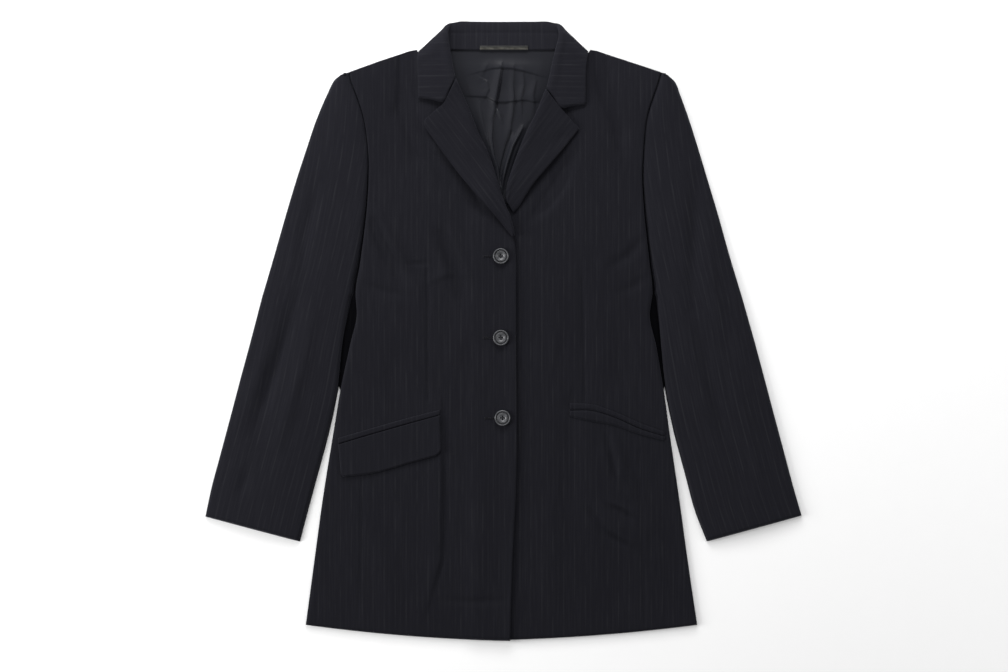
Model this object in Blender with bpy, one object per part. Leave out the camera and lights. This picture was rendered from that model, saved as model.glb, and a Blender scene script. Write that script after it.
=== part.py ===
"""A long single-breasted blazer, buttoned and laid flat on its back.

The garment lies on the surface z = 0 with its front facing +Z and its collar towards +Y.
The wearer's right side is at -X.  All tables are in millimetres; MM turns them into metres.
"""
import math

import bmesh
import bpy
import numpy as np
from mathutils import Vector

MM = 0.001

# Cloth
WALL = 2.0             # suiting with its facing or lining
FOLDED_WALL = 1.8      # the same where it is folded and pressed, on lapels and collar
GAP = 0.35             # left between pieces that lie on each other or are sewn together
SEAM_REST = 0.6        # the same under the turned edge of a front
ARMHOLE_GAP = 0.4      # the same between body and sleeve
SEAM_TURN = 2.3        # how far in from a seam or side fold the cloth starts to turn down
TURN_ANGLES = (32, 62, 90)
PAD = 4.6              # extra thickness of the padded shoulder
PAD_PLACE = ((192, 318), (48, 62))     # its middle and half widths, the same on both sides
BUST_PLACE = ((98, 130), (62, 95))
LINING_WALL = 1.0
FOOT = 3.5             # how far a folded lapel or collar goes on under itself
LABEL_WALL = 1.0
LABEL_BASE = 5.6       # underside of the label where it is sewn on behind the neck
LABEL_EDGES = (-31.8, 365.9, 31.8, 372.6)   # left, lower, right and upper edge
LINING_GAP = 0.5
BODY_LOFT = 1.2        # air between back and front at the hem
CHEST_LOFT = 2.1       # the same at the chest, where the lining lies between
BUST_LOFT = 1.0        # what the bust adds
SHOULDER_LOFT = 1.0    # what the upper chest and shoulders add
SLEEVE_LOFT = 2.9      # air between the two halves of a sleeve

# Collar
BACK_NECK_Y = 340.0    # the folded-under part of the collar lies above this
COLLAR_LIFT = 2.8      # the back panel rides up over the part of the collar folded under it
REST_GAP = 0.55        # under a lapel, collar or flap that lies on a front

# Overlap of the fronts
UNDERLAP_EDGE = -22.0  # hidden edge of the left front
OVERLAP_LIFT = WALL + GAP + 0.15
CROSSING = ((0, 150), (27, 30))        # where the lapels cross, and its half widths
CROSSING_LIFT = 0.8

# Buttons
BUTTON_RADIUS = 10.2
BUTTON_HOLE = 0.95
BUTTON_HOLE_CIRCLE = 2.2   # how far the holes are from the middle
BUTTON_PLACES = ((-3.5, 97.3), (-3.4, -8.4), (-1.3, -112.3))

# Outlines of the fronts, a row for each section from the hem up.
# centre_x, centre_y, side_x, side_y
RIGHT_FRONT = (
    (8.5, -402.0, -256.8, -381.2),
    (11.7, -297.4, -245.6, -297.4),
    (15.6, -219.4, -235.0, -219.4),
    (17.5, -128.4, -220.4, -128.4),
    (16.9, -77.7, -212.0, -77.7),
    (16.3, -12.7, -198.3, -12.7),
    (16.3, 19.8, -192.3, 19.8),
    (16.3, 48.0, -194.6, 48.0),
    (16.3, 90.0, -187.9, 90.0),
    (14.0, 118.6, -183.6, 118.6),
    (4.2, 156.3, -178.9, 156.3),
    (-12.1, 196.6, -175.9, 196.6),
    (-25.8, 235.6, -175.9, 231.7),
    (-42.7, 274.6, -180.7, 272.0),
    (-58.9, 313.6, -190.5, 304.5),
    (-71.3, 342.2, -197.0, 321.4),
    (-78.7, 361.0, -200.9, 336.0),
)
LEFT_FRONT = (
    (UNDERLAP_EDGE, -401.4, 251.6, -381.2),
    (UNDERLAP_EDGE, -297.4, 239.2, -297.4),
    (UNDERLAP_EDGE, -219.4, 228.5, -219.4),
    (UNDERLAP_EDGE, -128.4, 215.2, -128.4),
    (UNDERLAP_EDGE, -82.9, 209.0, -82.9),
    (UNDERLAP_EDGE, -16.6, 198.0, -16.6),
    (UNDERLAP_EDGE, 19.8, 191.6, 19.8),
    (UNDERLAP_EDGE, 48.0, 195.9, 48.0),
    (-20.2, 90.0, 191.4, 90.0),
    (-16.3, 118.6, 187.9, 118.6),
    (-6.0, 153.7, 184.0, 153.7),
    (10.0, 190.1, 181.0, 196.6),
    (21.2, 229.1, 182.0, 235.6),
    (38.8, 269.4, 185.3, 273.3),
    (56.3, 311.0, 193.7, 301.9),
    (66.7, 342.2, 199.6, 318.8),
    (78.7, 361.0, 204.8, 336.0),
)

# Outer edge of each sleeve beside the armhole, read at the height of the front's centre edge.
# level, outer_x, outer_y
RIGHT_SLEEVE_HEAD = (
    (48.0, -312.5, 48.0),
    (90.0, -300.2, 90.0),
    (156.3, -281.2, 156.3),
    (196.6, -269.1, 196.6),
    (235.6, -256.4, 235.6),
    (274.6, -243.2, 274.6),
    (313.6, -228.6, 308.6),
    (342.2, -219.6, 326.0),
    (361.0, -211.5, 332.6),
)
LEFT_SLEEVE_HEAD = (
    (48.0, 308.8, 48.0),
    (90.0, 296.0, 90.0),
    (156.3, 277.3, 156.3),
    (196.6, 265.2, 196.6),
    (235.6, 253.5, 235.6),
    (274.6, 241.2, 274.6),
    (313.6, 229.5, 307.0),
    (342.2, 222.3, 324.4),
    (361.0, 213.0, 332.6),
)

# Edges of each sleeve below the armhole.
# inner_x, inner_y, outer_x, outer_y
RIGHT_SLEEVE = (
    (-265.5, -272.9, -387.3, -240.6),
    (-254.8, -232.4, -379.5, -203.8),
    (-242.5, -186.9, -369.1, -164.8),
    (-226.9, -128.4, -354.5, -110.2),
    (-215.4, -72.5, -342.2, -63.4),
    (-209.4, -17.9, -329.2, -15.3),
    (-196.6, 46.0, -313.2, 46.0),
)
LEFT_SLEEVE = (
    (265.2, -272.7, 387.3, -239.3),
    (249.5, -232.4, 377.0, -203.8),
    (237.3, -186.9, 366.6, -164.8),
    (221.7, -128.4, 352.0, -110.2),
    (210.5, -72.5, 339.6, -63.4),
    (204.6, -17.9, 326.7, -15.3),
    (197.9, 46.0, 309.4, 46.0),
)

# Top edge of back and fronts: two shoulders and, hidden by the collar, the neck.
SHOULDER_LINE = {
    "x": (-200.9, -160.0, -122.0, -117.0, -111.5, -98.0, -78.7, -66.0,
          66.0, 78.7, 98.0, 111.5, 117.0, 122.0, 160.0, 204.8),
    "y": (336.0, 351.0, 362.6, 361.8, 356.6, 356.0, 361.0, 365.3,
          365.3, 361.0, 356.0, 356.6, 361.8, 362.6, 351.0, 336.0),
}

# Soft troughs (depth below zero) and ridges of the fronts and sleeves, largest first.
# start_x, start_y, end_x, end_y, width, depth
FOLDS = (
    (-132.0, 352.0, -134.0, 285.0, 13.0, -1.7),     # hollow beside the right fall
    (-134.0, 285.0, -111.0, 225.0, 11.0, -1.2),
    (119.0, 352.0, 134.0, 305.0, 13.0, -1.8),       # hollow beside the left fall
    (134.0, 305.0, 152.0, 262.0, 12.0, -1.1),
    (-78.0, 214.0, -44.0, 160.0, 15.0, -1.4),       # dip below the right lapel's edge
    (78.0, 204.0, 46.0, 168.0, 14.0, -1.2),         # dip below the left lapel's edge
    (-163.0, 138.0, -130.0, 68.0, 10.0, -1.3),      # drag line from the right armhole
    (-82.0, 124.0, -53.0, 50.0, 11.0, -1.2),        # drag line towards the top button
    (-98.0, -16.0, -99.0, 84.0, 9.0, -0.7),         # right dart
    (106.0, -92.0, 103.0, 70.0, 9.0, -0.7),         # left dart
    (-79.0, -285.0, -81.0, -130.0, 12.0, -1.1),     # edge of the right pocket bag
    (82.0, -222.0, 80.0, -100.0, 11.0, -1.1),       # edge of the left pocket bag
    (134.0, -160.0, 160.0, -207.0, 10.0, 1.0),      # ripples over the left pocket bag
    (120.0, -250.0, 166.0, -272.0, 11.0, 0.9),
    (-300.0, -60.0, -322.0, -190.0, 16.0, -1.2),    # creases down the sleeves
    (-262.0, 60.0, -280.0, -40.0, 16.0, -1.0),
    (256.0, 240.0, 282.0, 60.0, 15.0, -1.1),
    (276.0, -20.0, 300.0, -150.0, 16.0, -1.1),
)

# Lapels, a row for each section from the crossing up to the gorge seam.
# edge_x, edge_y, middle_x, middle_y, roll_x, roll_y, roll_radius
RIGHT_LAPEL = (
    (4.4, 130.8, 8.0, 132.4, 12.9, 135.0, 2.2),
    (-6.0, 143.5, 1.2, 146.4, 8.9, 149.5, 2.3),
    (-20.2, 160.2, -9.5, 164.5, 0.6, 168.8, 2.5),
    (-48.8, 192.7, -28.5, 195.0, -8.6, 197.5, 2.7),
    (-77.0, 229.1, -48.0, 229.5, -18.9, 230.0, 2.8),
    (-92.5, 251.0, -61.0, 251.0, -30.5, 253.0, 2.9),
    (-103.5, 268.5, -79.5, 279.5, -43.0, 284.0, 3.0),
    (-96.0, 279.5, -76.9, 296.0, -61.3, 327.6, 3.0),
)
LEFT_LAPEL = (
    (12.4, 153.4, 8.0, 161.5, 2.9, 170.5, 2.5),
    (21.5, 163.5, 12.8, 171.5, 3.2, 180.0, 2.5),
    (37.5, 188.9, 20.0, 188.0, 5.2, 192.5, 2.6),
    (71.5, 229.1, 43.5, 227.5, 16.2, 225.0, 2.7),
    (86.0, 247.0, 56.0, 247.0, 27.0, 252.0, 2.8),
    (97.0, 261.5, 74.5, 271.0, 42.0, 283.0, 2.9),
    (93.0, 268.0, 74.6, 288.5, 54.6, 314.0, 3.0),
)

# Collar, a row for each section from the notch to the middle of the back.  The fall runs from
# the edge to the roll and the stand from the roll to the neck seam.  turn is 0 where the fall
# faces up on the front and 180 where it has gone round the shoulder and lies under the back.
# Heights of 0 at turn 0 are taken from the front below.
# edge_x, edge_y, middle_x, middle_y, roll_x, roll_y, neck_x, neck_y, edge_z, roll_z, neck_z, radius, turn
RIGHT_COLLAR = (
    (-110.6, 302.4, -77.6, 297.2, -62.0, 328.6, -70.5, 326.0, 0.0, 0.0, 0.0, 3.0, 0),
    (-110.8, 321.4, -89.0, 326.0, -65.4, 344.8, -76.0, 343.0, 0.0, 0.0, 0.0, 3.2, 0),
    (-111.0, 342.2, -92.0, 352.0, -68.9, 365.6, -80.0, 358.0, 0.0, 0.0, 0.0, 3.2, 0),
    (-111.2, 355.0, -92.0, 369.0, -71.4, 383.8, -80.0, 362.5, 12.2, 13.0, 9.9, 3.2, 0),
    (-110.2, 362.4, -91.4, 378.9, -72.0, 394.0, -77.4, 366.2, 9.2, 9.9, 9.0, 3.1, 42),
    (-106.4, 365.0, -88.4, 382.8, -70.6, 400.3, -74.0, 366.6, 4.9, 6.2, 7.4, 3.0, 90),
    (-103.4, 362.0, -84.0, 382.6, -65.5, 401.6, -69.6, 366.8, 1.2, 3.6, 6.0, 2.8, 140),
    (-91.7, 354.6, -75.0, 378.0, -59.0, 401.9, -61.8, 366.6, 0.0, 2.65, 5.3, 2.6, 180),
    (-52.0, 351.3, -47.0, 377.0, -39.0, 402.0, -41.0, 366.3, 0.0, 2.6, 5.2, 2.6, 180),
    (0.0, 350.7, 0.0, 377.0, 0.0, 401.8, 0.0, 366.2, 0.0, 2.6, 5.2, 2.6, 180),
)
LEFT_COLLAR = (
    (106.4, 293.6, 75.0, 289.6, 55.4, 315.0, 64.0, 313.0, 0.0, 0.0, 0.0, 3.0, 0),
    (106.6, 315.0, 84.0, 321.0, 60.2, 334.0, 71.0, 334.0, 0.0, 0.0, 0.0, 3.2, 0),
    (107.0, 338.0, 87.0, 349.0, 66.0, 361.0, 77.0, 354.0, 0.0, 0.0, 0.0, 3.2, 0),
    (108.6, 354.0, 91.0, 369.0, 71.4, 383.8, 80.0, 362.5, 12.2, 13.0, 9.9, 3.2, 0),
    (109.6, 362.4, 91.4, 378.9, 72.0, 394.0, 77.4, 366.2, 9.2, 9.9, 9.0, 3.1, 42),
    (106.4, 365.0, 88.4, 382.8, 71.6, 399.8, 74.0, 366.6, 4.9, 6.2, 7.4, 3.0, 90),
    (103.4, 362.0, 84.0, 382.6, 66.5, 401.2, 69.6, 366.8, 1.2, 3.6, 6.0, 2.8, 140),
    (91.7, 354.6, 75.0, 378.0, 60.0, 401.6, 61.8, 366.6, 0.0, 2.65, 5.3, 2.6, 180),
    (52.0, 351.3, 47.0, 377.0, 39.0, 402.0, 41.0, 366.3, 0.0, 2.6, 5.2, 2.6, 180),
)

COLOURS = {
    "suiting": ((0.0168, 0.0168, 0.0205), 0.92),
    "lining": ((0.030, 0.036, 0.045), 0.38),
    "label": ((0.060, 0.062, 0.070), 0.60),
    "button": ((0.075, 0.077, 0.085), 0.42),
}


# ---------------------------------------------------------------- helpers

def read_table(table, key, value):
    """A table's other columns, read smoothly where its key column has this value."""
    rows = np.array(table, dtype=float)
    keys = rows[:, key]
    if keys[0] > keys[-1]:
        rows = rows[::-1]
        keys = keys[::-1]
    slopes = np.gradient(rows, keys, axis=0)
    at = int(np.clip(np.searchsorted(keys, value) - 1, 0, len(keys) - 2))
    span = keys[at + 1] - keys[at]
    t = (value - keys[at]) / span
    return (rows[at] * (2 * t**3 - 3 * t**2 + 1) + rows[at + 1] * (3 * t**2 - 2 * t**3)
            + slopes[at] * span * (t**3 - 2 * t**2 + t) + slopes[at + 1] * span * (t**3 - t**2))


def rise(value, low, high):
    """0 below low, 1 above high and smooth between."""
    t = min(max((value - low) / (high - low), 0.0), 1.0)
    return t * t * (3 - 2 * t)


def mound(x, y, centre, size):
    """A soft round bump, 1 high, with this centre and these half widths."""
    return math.exp(-((x - centre[0]) / size[0]) ** 2 - ((y - centre[1]) / size[1]) ** 2)


def new_object(name, mesh, finish):
    """Turns a bmesh in millimetres into a named object with its own material."""
    bmesh.ops.scale(mesh, vec=(MM, MM, MM), verts=mesh.verts)
    data = bpy.data.meshes.new(name)
    mesh.to_mesh(data)
    mesh.free()
    data.shade_smooth()
    data.set_sharp_from_angle(angle=math.radians(40))
    piece = bpy.data.objects.new(name, data)
    bpy.context.scene.collection.objects.link(piece)
    material = bpy.data.materials.new(name + "_finish")
    material.use_nodes = True
    colour, roughness = COLOURS[finish]
    shader = material.node_tree.nodes["Principled BSDF"]
    shader.inputs["Base Color"].default_value = (*colour, 1.0)
    shader.inputs["Roughness"].default_value = roughness
    shader.inputs["Metallic"].default_value = 0.0
    data.materials.append(material)
    return piece


def face_outwards(mesh):
    """Turns the faces of a closed mesh outwards."""
    bmesh.ops.recalc_face_normals(mesh, faces=mesh.faces[:])
    if mesh.calc_volume(signed=True) < 0:
        bmesh.ops.reverse_faces(mesh, faces=mesh.faces[:])


def move_grid(mesh, columns, rows, place):
    """Moves the corners of a flat grid 2 wide and 2 long; place gets column, row and side."""
    for corner in mesh.verts:
        column = round((corner.co.x + 1) / 2 * columns)
        row = round((corner.co.y + 1) / 2 * rows)
        corner.co = place(column, row, corner.co.z > 0.5)


def cloth_wall(name, columns, rows, place, finish="suiting"):
    """A closed wall of cloth.  A flat grid is thickened and place(column, row, outer) gives
    where each of its corners goes, on the outer or the inner side."""
    mesh = bmesh.new()
    bmesh.ops.create_grid(mesh, x_segments=columns, y_segments=rows, size=1)
    grown = bmesh.ops.extrude_face_region(mesh, geom=mesh.faces[:])["geom"]
    outer = [part for part in grown if isinstance(part, bmesh.types.BMVert)]
    bmesh.ops.translate(mesh, verts=outer, vec=(0, 0, 1))
    move_grid(mesh, columns, rows, place)
    face_outwards(mesh)
    return new_object(name, mesh, finish)


# ---------------------------------------------------------------- heights of the layers

def back_top(x, y):
    """Top of the back panel, which rides up over the folded part of the collar."""
    lift = rise(y, 292, 346) * (1 - rise(abs(x), 104, 150))
    return WALL + COLLAR_LIFT * lift


def fold_depth(x, y):
    """What the soft folds add to a height."""
    total = 0.0
    for start_x, start_y, end_x, end_y, width, depth in FOLDS:
        along = Vector((end_x - start_x, end_y - start_y))
        offset = Vector((x - start_x, y - start_y))
        t = min(max(offset.dot(along) / along.length_squared, 0.0), 1.0)
        distance = (offset - along * t).length
        total += depth * math.exp(-(distance / width) ** 2)
    return total


def pad_depth(x, y):
    """Extra thickness of the shoulder, greatest at the sleeve head."""
    return PAD * mound(abs(x), y, *PAD_PLACE)


def front_top(x, y, right=None):
    """Top of a front.  The right one lies over the left one along the overlap."""
    right = x < 0 if right is None else right
    loft = BODY_LOFT + (CHEST_LOFT - BODY_LOFT) * rise(y, -260, 60)
    loft += BUST_LOFT * mound(abs(x), y, *BUST_PLACE) + SHOULDER_LOFT * rise(y, 190, 290)
    height = back_top(x, y) + loft + WALL + pad_depth(x, y)
    height += fold_depth(x, y) * rise(abs(x), 8, 40)
    if right:
        height += OVERLAP_LIFT * rise(x, -56, -30) * (1 - rise(y, 185, 222))
        height += CROSSING_LIFT * mound(x, y, *CROSSING)
    return height


def sleeve_top(x, y):
    """Top of a sleeve, roundest at its head."""
    return 2 * WALL + SLEEVE_LOFT + pad_depth(x, y) + fold_depth(x, y)


# ---------------------------------------------------------------- draped panels

def turn_inset(angle, turn=SEAM_TURN):
    """How far in from the edge the cloth is when it has turned down by this angle."""
    return turn * (1 - math.sin(math.radians(angle)))


def turned_places(count, turn, at_start, at_end):
    """Places across a section of this many parts: (share of the width, turn inset, angle, end)."""
    places = []
    if at_start:
        places += [(0.0, turn_inset(a, turn), a, -1) for a in reversed(TURN_ANGLES)]
    places += [(i / count, turn if (at_start and i == 0) or (at_end and i == count) else 0.0, 0,
                -1 if i == 0 else 1 if i == count else 0) for i in range(count + 1)]
    if at_end:
        places += [(1.0, turn_inset(a, turn), a, 1) for a in TURN_ANGLES]
    return places


def draped_panel(name, rows, across, top, base, thickness):
    """A panel laid over others, with its edges turned down where the sections say so.

    rows holds (start point, end point, angle of a row that turns down, shaping of y)."""
    def place(column, row, outer):
        start, end, row_angle, shaping = rows[row]
        share, inset, angle, side = across[column]
        direction = (end - start).normalized()
        width = (end - start).length
        first = across_inset(across, -1)
        last = across_inset(across, 1)
        if angle == 0:
            distance = first + (width - first - last) * share
        else:
            distance = inset if side < 0 else width - inset
        point = start + direction * distance
        point.y += shaping(point.x)
        drop = math.cos(math.radians(angle)) * math.cos(math.radians(row_angle))
        bottom = base(point.x, point.y)
        height = bottom + (top(point.x, point.y) - bottom) * drop
        if not outer:
            wall = WALL
            if angle == 0 and row_angle == 0:
                wall = thickness(point.x, point.y)
            height -= wall * drop
            point = point - direction * (side * WALL * math.sin(math.radians(angle)))
            point.y -= WALL * math.sin(math.radians(row_angle))
        return Vector((point.x, point.y, height))
    return cloth_wall(name, len(across) - 1, len(rows) - 1, place)


def across_inset(across, side):
    """How far in the flat part of a section starts on this side."""
    return max((inset for share, inset, angle, end in across if angle == 0 and end == side), default=0.0)


def shoulder_y(x):
    return float(np.interp(x, SHOULDER_LINE["x"], SHOULDER_LINE["y"]))


def hem_bow(start, end, depth, share):
    """The hem's curve: how much lower it hangs between its corners."""
    def shaping(x):
        t = (x - start.x) / (end.x - start.x)
        return -depth * 4 * t * (1 - t) * share
    return shaping


def shoulder_shape(start, end, share, inset):
    """Bends the upper sections as the shoulder line bends away from its own chord."""
    def shaping(x):
        t = (x - start.x) / (end.x - start.x)
        chord = start.y + (end.y - start.y) * t
        return (shoulder_y(x) - chord) * share - inset
    return shaping


def shoulder_bow(table, share):
    """The same bend for a section lower down, fading with its share."""
    start = Vector(table[-1][0:2])
    end = Vector(table[-1][2:4])
    return shoulder_shape(start, end, share, 0.0)


LOWER_LEVELS = tuple(np.linspace(-402.0, 48.0, 17))
ARMHOLE_LEVELS = tuple(np.linspace(48.0, 361.0, 14))
BACK_COLUMNS = 14
BACK_SHORTER = 1.2     # how far the back stays below the fronts' shoulder edge


def front_rows(table):
    """Sections of a front from hem to shoulder, with the shoulder seam turned down."""
    rows = []
    top_level = ARMHOLE_LEVELS[-1]
    for level in LOWER_LEVELS + ARMHOLE_LEVELS[1:-1]:
        centre_x, centre_y, side_x, side_y = read_table(table, 1, level)
        start = Vector((centre_x, centre_y))
        end = Vector((side_x, side_y))
        if level < -200:
            shaping = hem_bow(start, end, 3.8, 1 - rise(level, -402, -300))
        else:
            shaping = shoulder_bow(table, rise(level, 200, top_level))
        rows.append((start, end, 0, shaping))
    centre_x, centre_y, side_x, side_y = table[-1]
    for angle in (0, *TURN_ANGLES):
        start = Vector((centre_x, centre_y))
        end = Vector((side_x, side_y))
        rows.append((start, end, angle, shoulder_shape(start, end, 1.0, turn_inset(angle))))
    return rows


def make_fronts():
    for name, table, right in (("front_right", RIGHT_FRONT, True), ("front_left", LEFT_FRONT, False)):
        across = turned_places(12, SEAM_TURN, False, True)
        rows = front_rows(table)

        def thickness(x, y):
            away = rise(shoulder_y(x) - y, 4, 20) * rise(armhole_distance(x, y), 3, 16)
            return WALL + pad_depth(x, y) * away

        draped_panel(name, rows, across,
                     lambda x, y, right=right: front_top(x, y, right),
                     lambda x, y: back_top(x, y) + SEAM_REST, thickness)


def armhole_distance(x, y):
    """How far inside the armhole or side line a point lies."""
    table = RIGHT_FRONT if x < 0 else LEFT_FRONT
    side = np.array(table)[:, 2:4]
    return abs(float(np.interp(y, side[:, 1], side[:, 0])) - x)


def sleeve_rows(lower, head, front):
    """Sections of a sleeve from the cuff up to its head, inner edge first."""
    rows = []
    for level in np.linspace(lower[0][1], lower[-1][1], 13):
        inner_x, inner_y, outer_x, outer_y = read_table(lower, 1, level)
        rows.append((Vector((inner_x, inner_y)), Vector((outer_x, outer_y)), 0, lambda x: 0.0))
    sign = 1 if front[0][2] > 0 else -1
    for level in ARMHOLE_LEVELS[1:]:
        side_x, side_y = read_table(front, 1, level)[2:4]
        outer_x, outer_y = read_table(head, 0, level)[1:3]
        inner = Vector((side_x + sign * ARMHOLE_GAP, side_y))
        outer = Vector((outer_x, outer_y))
        if level < ARMHOLE_LEVELS[-1]:
            rows.append((inner, outer, 0, lambda x: 0.0))
    for angle in (0, *TURN_ANGLES):
        rows.append((inner, outer, angle, lambda x, inset=turn_inset(angle): -inset))
    return rows


def make_sleeves():
    for side, lower, head, front in (("right", RIGHT_SLEEVE, RIGHT_SLEEVE_HEAD, RIGHT_FRONT),
                                     ("left", LEFT_SLEEVE, LEFT_SLEEVE_HEAD, LEFT_FRONT)):
        rows = sleeve_rows(lower, head, front)
        across = turned_places(6, SEAM_TURN, True, True)

        def thickness(x, y):
            return WALL + pad_depth(x, y) * rise(armhole_distance(x, y), 4, 18)

        draped_panel("topsleeve_" + side, rows, across, sleeve_top,
                     lambda x, y: WALL + GAP, thickness)

        flat_rows = [row for row in rows if row[2] == 0]

        def under(column, row, outer, rows=flat_rows):
            start, end = rows[row][:2]
            point = start.lerp(end, column / 3)
            return Vector((point.x, point.y, WALL if outer else 0.0))

        cloth_wall("undersleeve_" + side, 3, len(flat_rows) - 1, under)


# ---------------------------------------------------------------- back and lining

def make_back():
    """The back panel also fills the floor of the narrow wedge between body and sleeve."""
    levels = LOWER_LEVELS + ARMHOLE_LEVELS[1:]
    edges = []
    for level in levels:
        sides = []
        for table, sleeve, sign in ((RIGHT_FRONT, RIGHT_SLEEVE, -1), (LEFT_FRONT, LEFT_SLEEVE, 1)):
            x, y = read_table(table, 1, level)[2:4]
            if -72.0 < level < 48.5:
                x = read_table(sleeve, 1, max(level, -72.0))[0] - sign * 0.6
            sides.append(Vector((x, y)))
        edges.append(sides)

    def place(column, row, outer):
        start, end = edges[row]
        point = start.lerp(end, column / BACK_COLUMNS)
        low = 1.5 if row == 0 else 0.0
        if levels[row] < -200:
            point.y += hem_bow(start, end, 19.3, 1 - rise(levels[row], -402, -300))(point.x) + low
        elif levels[row] > 240:
            share = rise(levels[row], 240, ARMHOLE_LEVELS[-1])
            chord = start.y + (end.y - start.y) * (point.x - start.x) / (end.x - start.x)
            top_chord = edges[-1][0].y
            point.y = chord + (shoulder_y(point.x) - top_chord - BACK_SHORTER) * share
        height = back_top(point.x, point.y)
        return Vector((point.x, point.y, height if outer else height - WALL))
    cloth_wall("back", BACK_COLUMNS, len(levels) - 1, place)


# level, left_x, right_x
LINING = (
    (364.9, -69.0, 69.0),
    (330.0, -68.0, 66.0),
    (290.0, -56.0, 56.0),
    (240.0, -38.0, 40.0),
    (190.0, -20.0, 22.0),
    (160.0, -14.0, 16.0),
)
# start_x, start_y, end_x, end_y, width, height
PLEATS = (
    (18.0, 300.0, 0.0, 240.0, 7.0, 2.2),      # bright ridge beside the middle
    (0.0, 240.0, -2.0, 185.0, 6.0, 1.6),
    (-14.0, 330.0, -20.0, 270.0, 9.0, 1.6),   # full side of the middle pleat
    (-28.0, 338.0, 50.0, 332.0, 8.0, 1.0),
    (-50.0, 306.0, 42.0, 300.0, 8.0, 0.9),
)


def lining_top(x, y):
    """Top of the lining, which lies in soft folds where nothing covers it."""
    height = back_top(x, y) + LINING_GAP + LINING_WALL
    half = (float(np.interp(y, (170, 330), (2, 60))))
    free = 1 - rise(abs(x), half * 0.55, half)
    for start_x, start_y, end_x, end_y, width, lift in PLEATS:
        along = Vector((end_x - start_x, end_y - start_y))
        offset = Vector((x - start_x, y - start_y))
        t = min(max(offset.dot(along) / along.length_squared, 0.0), 1.0)
        height += lift * free * math.exp(-((offset - along * t).length / width) ** 2)
    return height


def make_lining():
    def place(column, row, outer):
        level = LINING[0][0] + (LINING[-1][0] - LINING[0][0]) * (1 - row / 13)
        left_x, right_x = read_table(LINING, 0, level)[1:3]
        x = left_x + (right_x - left_x) * column / 12
        height = lining_top(x, level)
        return Vector((x, level, height if outer else height - LINING_WALL))
    cloth_wall("lining_back", 12, 13, place, "lining")


def make_label():
    """A bare woven strip sewn across the back neck, on the stand."""
    def place(column, row, outer):
        left, lower, right, upper = LABEL_EDGES
        x = left + (right - left) * column / 4
        y = lower + (upper - lower) * row
        return Vector((x, y, LABEL_BASE + LABEL_WALL if outer else LABEL_BASE))
    cloth_wall("label", 4, 1, place, "label")


# ---------------------------------------------------------------- lapels and collar

def hairpin(edge, middle, roll, foot, radius, turn, outward):
    """Outer side of a folded section from its edge over the roll to its foot."""
    tip = Vector((roll.x - middle.x, roll.y - middle.y, 0)).normalized()
    angle = math.radians(turn)
    normal = Vector((0, 0, math.cos(angle))) + outward * math.sin(angle)
    centre = roll - tip * radius - outward * (radius * math.sin(angle))
    over = [centre + (normal * math.cos(a) + tip * math.sin(a)) * radius
            for a in (math.radians(d) for d in (0, 45, 90, 135, 180))]
    return [edge, edge.lerp(middle, 0.5), middle, middle.lerp(over[0], 0.5), *over,
            over[-1].lerp(foot, 0.5), foot]


def folded_cloth(name, sections):
    """A folded band: its outer side is a grid through the sections, Solidify gives the wall."""
    mesh = bmesh.new()
    columns = len(sections[0]) - 1
    rows = len(sections) - 1
    bmesh.ops.create_grid(mesh, x_segments=columns, y_segments=rows, size=1)
    move_grid(mesh, columns, rows, lambda column, row, outer: sections[row][column])
    mesh.normal_update()
    in_front = [face for face in mesh.faces if face.calc_center_median().y < BACK_NECK_Y]
    if sum(face.normal.z * face.calc_area() for face in in_front) < 0:
        bmesh.ops.reverse_faces(mesh, faces=mesh.faces[:])
    piece = new_object(name, mesh, "suiting")
    solid = piece.modifiers.new("wall", "SOLIDIFY")
    solid.thickness = FOLDED_WALL * MM
    solid.offset = -1
    return piece


def lapel_sections(table, right, count):
    """Sections of a lapel, its lower end first, raised on the front it lies on."""
    sections = []
    for step in range(count + 1):
        row = read_rows(table, step / count)
        edge_x, edge_y, middle_x, middle_y, roll_x, roll_y, radius = row
        rest = WALL + REST_GAP
        edge = Vector((edge_x, edge_y, front_top(edge_x, edge_y, right) + rest))
        under = front_top(roll_x, roll_y, right) + REST_GAP
        roll = Vector((roll_x, roll_y, under + radius))
        middle_z = (edge.z + under + 2 * radius) / 2 + 0.5
        middle = Vector((middle_x, middle_y, middle_z))
        back = Vector((middle_x - roll_x, middle_y - roll_y, 0))
        foot_length = radius + FOOT * (0.5 + 0.5 * rise(step / count, 0.2, 0.5))
        foot = Vector((roll_x, roll_y, under)) + back.normalized() * foot_length
        sections.append(hairpin(edge, middle, roll, foot, radius, 0, Vector((0, 0, 0))))
    return sections


def read_rows(table, share):
    """A table read smoothly by row number, share running from 0 at its first row to 1."""
    rows = np.array(table, dtype=float)
    numbered = np.column_stack((np.arange(len(rows)), rows))
    return read_table(numbered, 0, share * (len(rows) - 1))[1:]


def make_lapels():
    for name, table, right in (("lapel_right", RIGHT_LAPEL, True), ("lapel_left", LEFT_LAPEL, False)):
        folded_cloth(name, lapel_sections(table, right, 12))


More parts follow.
